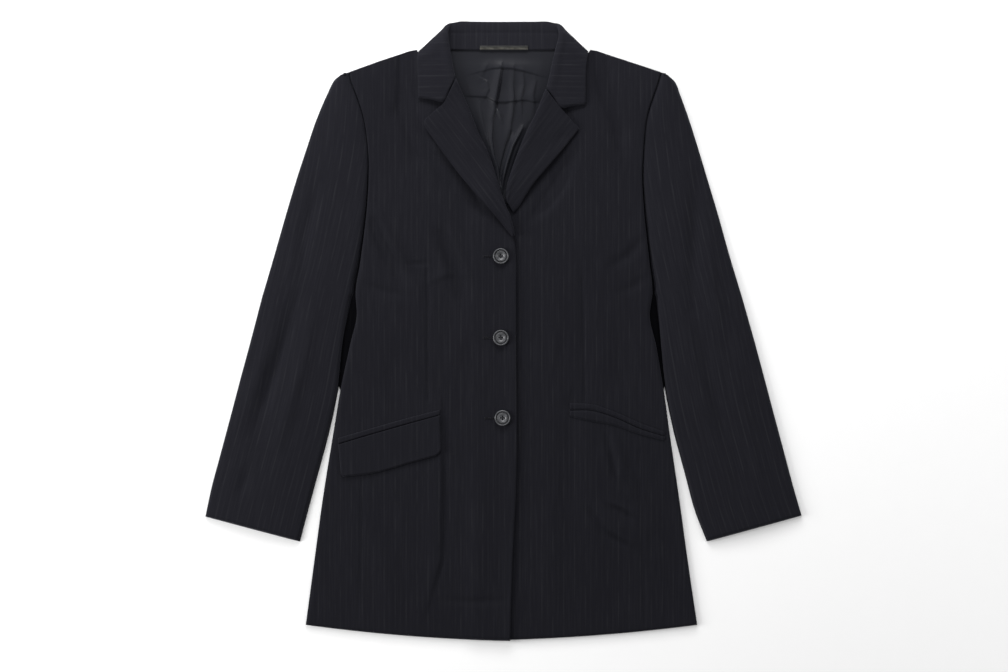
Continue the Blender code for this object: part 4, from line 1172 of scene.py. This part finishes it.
def flap_points():
    """Corners of the flap: it hangs from its welt, with round corners, a seam inside its edge
    and a slight wave."""
    rows = []
    first, last = RIGHT_POCKET[0][0], RIGHT_POCKET[-1][0]
    share = np.concatenate((np.linspace(0, 0.9, 84, endpoint=False),
                            0.9 + 0.1 * np.sin(np.linspace(0, math.pi / 2, 26))))
    lines = np.array([read_table(RIGHT_POCKET, 0, first + (last - first) * value) for value in share])
    length = np.abs(lines[:, LOWER] - lines[:, MOUTH])
    ends = (share * FLAP_WIDTH, (1 - share) * FLAP_WIDTH)
    corner = sum(size * (1 - rounded(away, size)) for size, away in zip(FLAP_CORNERS, ends))
    slant = FLAP_SLANT[0] * (1 - share) + FLAP_SLANT[1] * share
    for down in np.linspace(1, 0, 34):
        x = first + (last - first) * share + slant * down
        y = lines[:, MOUTH] + (lines[:, LOWER] + corner - lines[:, MOUTH]) * down
        inward = np.minimum(np.minimum(*ends), (1 - down) * length)
        seam = 0.14 * bell(inward - 2.6, 1.3)
        wave = 0.35 * np.sin(share * 9.0 + 0.8) * down**2 + 0.3 * bell(share - 0.3, 0.06) * down
        bulge = 0.7 + 1.2 * rounded(inward, 1.6) + seam + wave
        height = front_top(x, y, True) + REST_GAP + FLAP_LIFT * down + bulge
        rows.append(np.column_stack((x, y, height, y - lines[:, MOUTH])))
    return np.array(rows)


points = flap_points()
pieces["flap_right"] = cloth("flap_right_cloth", points[:, :, :3], points[:, :, ::3], FLAP_WALL)

# %% [markdown]
# Buttons
#
# A suit button is turned from a hard blank: a raised rim with a groove inside it, then a wide
# dish with four holes.  Spinning its section gives exactly that, and the holes are drilled with
# a Boolean, as they are on the real one.

# %% Sizes of a button
BUTTON_PLACES = ((-3.5, 97.3), (-3.4, -8.4), (-1.3, -112.3))
# radius and height of the turned section, from the middle of the top round to the underside
BUTTON_PROFILE = ((0.0, 1.3), (1.5, 1.35), (3.2, 1.6), (4.1, 2.3), (4.9, 2.75), (6.0, 3.0), (6.6, 3.0),
                  (6.95, 2.7), (7.15, 1.7), (7.4, 1.35), (8.0, 1.35), (8.3, 1.8), (8.5, 3.3), (8.8, 3.9),
                  (9.2, 4.05), (9.6, 3.95), (9.95, 3.5), (10.2, 2.6), (10.05, 2.0), (9.2, 1.0),
                  (7.5, 0.35), (5.5, 0.1), (0.0, 0.1))
HOLE_CIRCLE = 2.2
HOLE_RADIUS = 0.95
BUTTON_STEPS = 72


# %% Turned and drilled buttons
def turned_mesh(profile, steps_round):
    """A closed mesh spun round the vertical from (radius, height) pairs in mm."""
    mesh = bmesh.new()
    points = [mesh.verts.new((radius, 0, height)) for radius, height in profile]
    edges = [mesh.edges.new(pair) for pair in zip(points, points[1:])]
    bmesh.ops.spin(mesh, geom=points + edges, cent=(0, 0, 0), axis=(0, 0, 1),
                   angle=2 * math.pi, steps=steps_round, use_merge=True)
    bmesh.ops.remove_doubles(mesh, verts=mesh.verts, dist=0.0005)
    bmesh.ops.recalc_face_normals(mesh, faces=mesh.faces[:])
    return mesh


def finished(name, mesh, place=(0, 0, 0)):
    """A bmesh in mm becomes an object that sits at the origin."""
    bmesh.ops.translate(mesh, verts=mesh.verts, vec=place)
    bmesh.ops.scale(mesh, vec=(MM, MM, MM), verts=mesh.verts)
    data = bpy.data.meshes.new(name)
    mesh.to_mesh(data)
    mesh.free()
    data.shade_smooth()
    piece = bpy.data.objects.new(name, data)
    bpy.context.scene.collection.objects.link(piece)
    return piece


def drilled(piece, cutter):
    """The piece with the cutter taken out of it for good."""
    cut = piece.modifiers.new("holes", "BOOLEAN")
    cut.object = cutter
    cut.operation = "DIFFERENCE"
    shape = piece.evaluated_get(bpy.context.evaluated_depsgraph_get())
    data = bpy.data.meshes.new_from_object(shape)
    piece.modifiers.clear()
    piece.data = data
    data.shade_smooth()
    data.set_sharp_from_angle(angle=math.radians(50))
    bpy.data.objects.remove(cutter, do_unlink=True)
    return piece


def make_button(number, x, y):
    """A button on the right front, its four holes drilled through."""
    base = front_height(x, y, True) + REST_GAP
    button = finished(f"button_{number}_turned", turned_mesh(BUTTON_PROFILE, BUTTON_STEPS), (x, y, base))
    drill = bmesh.new()
    for quarter in range(4):
        turn = math.pi / 2 * quarter
        place = (HOLE_CIRCLE * math.cos(turn), HOLE_CIRCLE * math.sin(turn), 2)
        hole = bmesh.ops.create_cone(drill, cap_ends=True, segments=20, radius1=HOLE_RADIUS,
                                     radius2=HOLE_RADIUS, depth=12)["verts"]
        bmesh.ops.translate(drill, verts=hole, vec=place)
    cutter = finished("drill", drill, (x, y, base))
    return drilled(button, cutter)


for number, (x, y) in enumerate(BUTTON_PLACES, start=1):
    pieces[f"button_{number}"] = make_button(number, x, y)
print("buttons drilled")

# %% [markdown]
# Sewing
#
# Thread holds each button through its holes, and a worked buttonhole shows beside it.  Hand
# sewing is many small straight stitches, so one stitch, a short thick thread, is made and laid
# down again and again.  Each has few faces, because there are hundreds of them.


# %% One stitch, many times
def add_stitch(mesh, start, end, thick):
    """Adds a short thread with rounded ends from start to end, in mm."""
    start, end = Vector(start), Vector(end)
    along = end - start
    made = bmesh.ops.create_uvsphere(mesh, u_segments=6, v_segments=5, radius=1.0)["verts"]
    turn = along.to_track_quat("Z", "Y").to_matrix().to_4x4()
    size = Matrix.Diagonal((thick / 2, thick / 2, along.length / 2, 1))
    bmesh.ops.transform(mesh, matrix=Matrix.Translation((start + end) / 2) @ turn @ size, verts=made)


# %% Buttonholes and button threads
BUTTON_THREAD = 0.5
HOLE_LENGTH = 13.0
HOLE_BESIDE = (-16.0, -0.3)        # from the button's middle to that of its hole
HOLE_PITCH = 0.55


def buttonhole(mesh, x, y):
    """Close stitches across both sides of a slit and a bar at its end."""
    half = HOLE_LENGTH / 2
    for side in (-1, 1):
        for offset in np.arange(-half, half + 0.01, HOLE_PITCH):
            near = (x + offset, y + side * 0.25)
            far = (x + offset, y + side * 1.55)
            low = front_height(*near, True)
            add_stitch(mesh, (*near, low + 0.62), (*far, low + 0.32), BUTTON_THREAD)
    for offset in np.arange(-1.3, 1.31, 0.5):
        level = y + offset
        low = front_height(x - half, level, True)
        add_stitch(mesh, (x - half - 1.1, level, low + 0.4), (x - half + 0.3, level, low + 0.6),
                   BUTTON_THREAD)


def button_cross(mesh, x, y):
    """Two threads each way across the button, from hole to hole."""
    top = front_height(x, y, True) + REST_GAP + 1.35
    for side in (-0.28, 0.28):
        add_stitch(mesh, (x - HOLE_CIRCLE, y + side, top), (x + HOLE_CIRCLE, y + side, top + 0.1),
                   BUTTON_THREAD)
        add_stitch(mesh, (x + side, y - HOLE_CIRCLE, top), (x + side, y + HOLE_CIRCLE, top + 0.35),
                   BUTTON_THREAD)


holes = bmesh.new()
crosses = bmesh.new()
for x, y in BUTTON_PLACES:
    buttonhole(holes, x + HOLE_BESIDE[0], y + HOLE_BESIDE[1])
    button_cross(crosses, x, y)
pieces["buttonholes"] = finished("buttonholes", holes)
pieces["button_threads"] = finished("button_threads", crosses)

# %% Stitches at the neck
NECK_SEAM = (-76.0, 76.1, 365.2, 8.25)     # from x, to x, y and height
LABEL_SEAM_IN = 0.8                        # from the label's edge to its stitches

tacks = bmesh.new()
start_x, end_x, seam_y, seam_z = NECK_SEAM
for x in np.arange(start_x, end_x, 2.6):
    add_stitch(tacks, (x, seam_y, seam_z), (x + 1.5, seam_y + 0.1, seam_z), 0.3)
left, lower, right, upper = LABEL_EDGES
seam_z = LABEL_TOP + 0.02
for x in np.arange(left + 1, right - 1, 1.9):
    for seam_y in (upper - LABEL_SEAM_IN, lower + LABEL_SEAM_IN):
        add_stitch(tacks, (x, seam_y, seam_z), (x + 1.1, seam_y, seam_z), 0.22)
pieces["neck_stitches"] = finished("neck_stitches", tacks)
print("stitches laid")

# %% [markdown]
# Writing a material
#
# A finish is a small sum: this much stripe, that much weave.  Blender keeps such sums as nodes.
# The class below lets us write them as ordinary arithmetic, and each operator adds its node.


# %% Node arithmetic
class Value:
    """A socket that holds a number and can be used in a sum."""

    def __init__(self, finish, socket):
        self.finish = finish
        self.socket = socket

    def math(self, operation, *others):
        return self.finish.add("ShaderNodeMath", {"operation": operation},
                               dict(enumerate((self, *others))))

    def reversed(self, operation, first):
        return self.finish.add("ShaderNodeMath", {"operation": operation}, {0: first, 1: self})

    def __add__(self, other):
        return self.math("ADD", other)

    def __sub__(self, other):
        return self.math("SUBTRACT", other)

    def __rsub__(self, other):
        return self.reversed("SUBTRACT", other)

    def __mul__(self, other):
        return self.math("MULTIPLY", other)

    def __truediv__(self, other):
        return self.math("DIVIDE", other)

    __radd__ = __add__
    __rmul__ = __mul__

    def soft_step(self, low, high):
        """0 below low, 1 above high and smooth between."""
        return self.finish.add("ShaderNodeMapRange", {"interpolation_type": "SMOOTHSTEP"},
                               {"Value": self, "From Min": low, "From Max": high})


# %% A material and its nodes
class Finish:
    """A material, from its name and the shader's sockets that are the same all over."""

    def __init__(self, name, **sockets):
        self.material = bpy.data.materials.new(name)
        self.material.use_nodes = True
        self.tree = self.material.node_tree
        self.shader = self.tree.nodes["Principled BSDF"]
        for socket, value in sockets.items():
            self.shader.inputs[socket.replace("_", " ")].default_value = value

    def add(self, kind, settings=None, sockets=None, output=0):
        """Adds a node: its settings first, then what goes into its sockets."""
        node = self.tree.nodes.new(kind)
        for key, value in (settings or {}).items():
            setattr(node, key, value)
        for key, value in (sockets or {}).items():
            if isinstance(value, Value):
                self.tree.links.new(value.socket, node.inputs[key])
            else:
                node.inputs[key].default_value = value
        return Value(self, node.outputs[output])

    def cut(self):
        """The place on the flat cloth, from the UV map."""
        return self.add("ShaderNodeUVMap", {"uv_map": "cut"})

    def solid(self):
        """The place in the object, in metres."""
        return self.add("ShaderNodeTexCoord", output=3)

    def split(self, vector):
        """The numbers across and along of a place on the flat cloth."""
        first = self.add("ShaderNodeSeparateXYZ", None, {0: vector})
        return [Value(self, socket) for socket in first.socket.node.outputs][:2]

    def stretched(self, place, along):
        """A place with its distance along the cloth times this, for a pattern of long streaks."""
        return self.add("ShaderNodeVectorMath", {"operation": "MULTIPLY"},
                        {0: place, 1: (1.0, along, 1.0)})

    def mix(self, share, first, second):
        """Between two colours, given as (red, green, blue) or as a value."""
        first, second = (colour if isinstance(colour, Value) else (*colour, 1.0)
                         for colour in (first, second))
        return self.add("ShaderNodeMix", {"data_type": "RGBA"},
                        {"Factor": share, 6: first, 7: second}, output=2)

    def noise(self, place, scale, detail=2.0):
        """Cloudy noise from 0 to 1, finer with a larger scale."""
        return self.add("ShaderNodeTexNoise", None,
                        {"Vector": place, "Scale": scale, "Detail": detail})

    def weave(self, across, pitch):
        """A wave from -1 to 1 and back every pitch metres."""
        return (across * (2 * math.pi / pitch)).math("SINE")

    def wear(self, socket, value):
        """Links a value to the shader."""
        self.tree.links.new(value.socket, self.shader.inputs[socket])

    def bump(self, height, strength, distance):
        """Relief too fine to model."""
        made = self.add("ShaderNodeBump", None,
                        {"Height": height, "Strength": strength, "Distance": distance})
        self.wear("Normal", made)


print("ready to mix finishes")

# %% [markdown]
# The suiting
#
# The cloth is a very dark navy twill with a fine pinstripe every 14 mm and a fainter one midway
# between two of them.  Its flat pattern is in the UV map, in metres, so a stripe is simply a
# narrow band that repeats in one direction of it.  A stripe is worn: streaks of noise along it
# break it up.  Twill is a diagonal rib half a millimetre wide, made as a bump.  Dark wool is
# matt, but its fibres catch light at a low angle, which the sheen gives.

# %% Suiting
SUITING = (0.0068, 0.0068, 0.0098)
SUITING_LIGHT = (0.0092, 0.0092, 0.0126)
SUITING_STRIPE = (0.0148, 0.0150, 0.0182)
SHEEN_TINT = (0.80, 0.83, 1.0, 1.0)
STRIPE_SPACING = 0.0142
STRIPE_EDGES = (0.00032, 0.00128)      # from a stripe's middle: full up to, and gone from
FAINT_STRIPE = 0.45
RIB_PITCH = 0.00062


def stripe_band(phase):
    """1 on a stripe, which repeats each time the phase grows by 1."""
    away = (phase.math("FRACT") - 0.5).math("ABSOLUTE") * STRIPE_SPACING
    return 1 - away.soft_step(*STRIPE_EDGES)


def suiting(name, offset=0.0, painted_brightness=1.0):
    """Pinstripe twill.  offset shifts the stripes; brightness above 1 is painted light, below 1 painted
    shade.
    """
    dark, light, stripe_colour = (tuple(part * painted_brightness for part in colour)
                                  for colour in (SUITING, SUITING_LIGHT, SUITING_STRIPE))
    finish = Finish(name, Specular_IOR_Level=0.09 * painted_brightness, Sheen_Weight=0.035 * painted_brightness,
                    Sheen_Roughness=0.5, Sheen_Tint=SHEEN_TINT)
    place = finish.cut()
    u, v = finish.split(place)
    solid = finish.solid()
    wobble = finish.noise(solid, 14.0, 1.0) - 0.5
    phase = (u + wobble * 0.0006 + offset) / STRIPE_SPACING
    stripes = stripe_band(phase) + stripe_band(phase + 0.5) * FAINT_STRIPE
    yarns = finish.noise(finish.stretched(place, 0.035), 520.0, 3.0)
    worn = finish.noise(finish.stretched(place, 0.16), 170.0, 2.0).soft_step(0.38, 0.66)
    mottle = finish.noise(solid, 6.0, 3.0).soft_step(0.35, 0.70)
    fibre = finish.noise(solid, 1500.0, 2.0)
    ground = finish.mix(mottle * 0.25 + fibre * 0.2 + (yarns - 0.5) * 3.8, dark, light)
    finish.wear("Base Color", finish.mix(stripes * (0.05 + 0.60 * worn), ground, stripe_colour))
    ribs = finish.weave(u + v, RIB_PITCH)
    finish.bump(ribs * 0.35 + fibre * 0.9 + mottle * 0.3, 0.35, 0.00012)
    finish.wear("Roughness", 0.80 + 0.12 * fibre)
    return finish.material


# the sleeve and collar copies carry painted light, the inside copy painted shade
cloth_finish = {
    "front_right": suiting("suiting_front_right", 0.0056),
    "front_left": suiting("suiting_front_left"),
    "topsleeve": suiting("suiting_sleeve_painted_light", painted_brightness=1.10),
    "lapel": suiting("suiting_lapel", 0.003),
    "collar": suiting("suiting_collar_painted_light", painted_brightness=1.12),
    "plain": suiting("suiting_plain"),
    "inside": suiting("suiting_inside_painted_shade", painted_brightness=0.22),
}
print("kinds of suiting:", len(cloth_finish))

# %% [markdown]
# Satin, label, buttons and thread
#
# The lining is a smooth satin: its long floats reflect in soft streaks, so it is less rough
# than the suiting and a little bluer.  The label's ground is a close taffeta.  The buttons are
# grey marbled resin with a satin gloss, and the thread is dark and slightly shiny.


# %% Satin and taffeta
SATIN_DARK, SATIN_LIGHT = (0.0080, 0.0084, 0.0116), (0.0130, 0.0136, 0.0178)
TAFFETA_DARK, TAFFETA_LIGHT = (0.0095, 0.0095, 0.0080), (0.046, 0.043, 0.035)
TAFFETA_PITCH = 0.00036
LABEL_BAND = (0.3664, 0.0020)      # middle and half width of its paler band, on the flat cloth


def lining_finish():
    """Satin: long floats across and a fine weave along."""
    finish = Finish("lining_satin", Specular_IOR_Level=0.15, Sheen_Weight=0.02, Sheen_Roughness=0.3)
    solid = finish.solid()
    u, v = finish.split(finish.cut())
    fibre = finish.noise(solid, 1300.0, 2.0)
    mottle = finish.noise(solid, 18.0, 2.0)
    finish.wear("Base Color", finish.mix(fibre * 0.4 + mottle * 0.5, SATIN_DARK, SATIN_LIGHT))
    finish.wear("Roughness", 0.42 + 0.14 * fibre)
    weave = finish.weave(v, 0.0003) * 0.3 + finish.weave(u, 0.0011) * 0.2
    finish.bump(weave + fibre, 0.25, 0.00005)
    return finish.material


def label_finish():
    """Bare taffeta, a little paler in patches along its middle."""
    finish = Finish("label_taffeta", Specular_IOR_Level=0.4)
    place = finish.cut()
    u, v = finish.split(place)
    threads = finish.weave(u, TAFFETA_PITCH) * finish.weave(v, TAFFETA_PITCH)
    middle = 1 - ((v - LABEL_BAND[0]) / LABEL_BAND[1]).math("ABSOLUTE").soft_step(0.1, 1.0)
    patchy = finish.noise(place, 150.0, 2.0).soft_step(0.40, 0.62)
    share = middle * (0.22 + 0.78 * patchy) + threads * 0.15
    finish.wear("Base Color", finish.mix(share, TAFFETA_DARK, TAFFETA_LIGHT))
    finish.wear("Roughness", 0.55 + 0.1 * threads)
    finish.bump(threads, 0.3, 0.00004)
    return finish.material


# %% Resin and thread
RESIN_DARK, RESIN_LIGHT = (0.030, 0.031, 0.035), (0.088, 0.090, 0.098)
THREAD_DARK, THREAD_LIGHT = (0.007, 0.007, 0.010), (0.015, 0.015, 0.019)


def button_finish():
    """Clouded resin with a satin gloss."""
    finish = Finish("button_resin", Specular_IOR_Level=0.5, Coat_Weight=0.25, Coat_Roughness=0.25)
    solid = finish.solid()
    cloud = finish.noise(solid, 220.0, 3.0).soft_step(0.35, 0.68)
    speck = finish.noise(solid, 2200.0, 2.0)
    finish.wear("Base Color", finish.mix(cloud * 0.7 + speck * 0.3, RESIN_DARK, RESIN_LIGHT))
    finish.wear("Roughness", 0.34 + 0.14 * speck)
    finish.bump(speck, 0.12, 0.00005)
    return finish.material


def thread_finish():
    """Dark sewing thread."""
    finish = Finish("thread", Specular_IOR_Level=0.15)
    twist = finish.noise(finish.solid(), 2600.0, 2.0)
    finish.wear("Base Color", finish.mix(twist, THREAD_DARK, THREAD_LIGHT))
    finish.wear("Roughness", 0.5 + 0.2 * twist)
    return finish.material


lining_satin = lining_finish()
label_taffeta = label_finish()
button_resin = button_finish()
thread = thread_finish()
print("finishes:", len(cloth_finish) + 4)

# %% [markdown]
# Putting it together
#
# Each piece now gets its finish, stands for its imported node and rides on the one body.  The width
# and length of each sheet's flat cut are printed.

# %% Finishes, nodes and sheets
FINISH_OF = {
    "front_right": cloth_finish["front_right"], "front_left": cloth_finish["front_left"],
    "topsleeve_right": cloth_finish["topsleeve"], "topsleeve_left": cloth_finish["topsleeve"],
    "undersleeve_right": cloth_finish["plain"], "undersleeve_left": cloth_finish["plain"],
    "back": cloth_finish["plain"], "lapel_right": cloth_finish["lapel"],
    "lapel_left": cloth_finish["lapel"], "collar": cloth_finish["collar"],
    "flap_right": cloth_finish["front_right"], "jet_right_upper": cloth_finish["front_right"],
    "jet_left_upper": cloth_finish["front_left"], "jet_left_lower": cloth_finish["front_left"],
    "lining_back": lining_satin, "label": label_taffeta,
    "button_1": button_resin, "button_2": button_resin, "button_3": button_resin,
    "buttonholes": thread, "button_threads": thread, "neck_stitches": thread,
}
# slot 0, the back's upper side seen in the wedge, is the painted-shade copy of the suiting
pieces["back"].data.materials.append(cloth_finish["inside"])
for name, piece in pieces.items():
    piece.data.materials.append(FINISH_OF[name])
    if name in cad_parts:
        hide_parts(name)
    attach(piece, "root")


def flat_cut(piece):
    """Width, length and area of a sheet's flat pattern, in metres."""
    data = piece.data
    pattern = data.uv_layers["cut"].data
    places = np.zeros(len(pattern) * 2)
    pattern.foreach_get("uv", places)
    places = places.reshape(-1, 4, 2)
    ahead = np.roll(places, -1, axis=1)
    crossed = places[:, :, 0] * ahead[:, :, 1] - places[:, :, 1] * ahead[:, :, 0]
    area = abs(crossed.sum(axis=1) / 2).sum()
    size = places.reshape(-1, 2).max(axis=0) - places.reshape(-1, 2).min(axis=0)
    return float(size[0]), float(size[1]), float(area)


LIES_ON = {
    "back": [], "undersleeve_right": [], "undersleeve_left": [], "lining_back": ["back"],
    "front_right": ["back"], "front_left": ["back"], "topsleeve_right": ["undersleeve_right"],
    "topsleeve_left": ["undersleeve_left"], "lapel_right": ["front_right"], "lapel_left": ["front_left"],
    "collar": ["front_right", "front_left"], "flap_right": ["front_right"],
    "jet_right_upper": ["front_right"], "jet_left_upper": ["front_left"],
    "jet_left_lower": ["front_left"], "label": ["collar"],
}
TURNED_UNDER = 0.005      # the long edges of a welt or label are turned under by 2.5 mm
for name, under in LIES_ON.items():
    width, length, area = flat_cut(pieces[name])
    if name.startswith(("jet", "label")):
        length += TURNED_UNDER
    print(name, "flat cut", round(width * 1000), "x", round(length * 1000), "mm")

# %% [markdown]
# The table
#
# A plain pale floor, a little larger than the picture, catches the soft shadow that shows how
# far each edge stands off it.

# %% Floor
FLOOR_HALF = 6000      # mm
FLOOR_HEIGHT = -0.25
PAPER_DARK, PAPER_LIGHT = (0.975, 0.975, 0.975), (0.99, 0.99, 0.99)
ground = bmesh.new()
bmesh.ops.create_grid(ground, x_segments=1, y_segments=1, size=FLOOR_HALF)
floor = finished("floor", ground, (0, 0, FLOOR_HEIGHT))
paper = Finish("floor_paper", Roughness=0.9, Specular_IOR_Level=0.1)
paper.wear("Base Color", paper.mix(paper.noise(paper.solid(), 40.0), PAPER_DARK, PAPER_LIGHT))
floor.data.materials.append(paper.material)
print("floor laid")
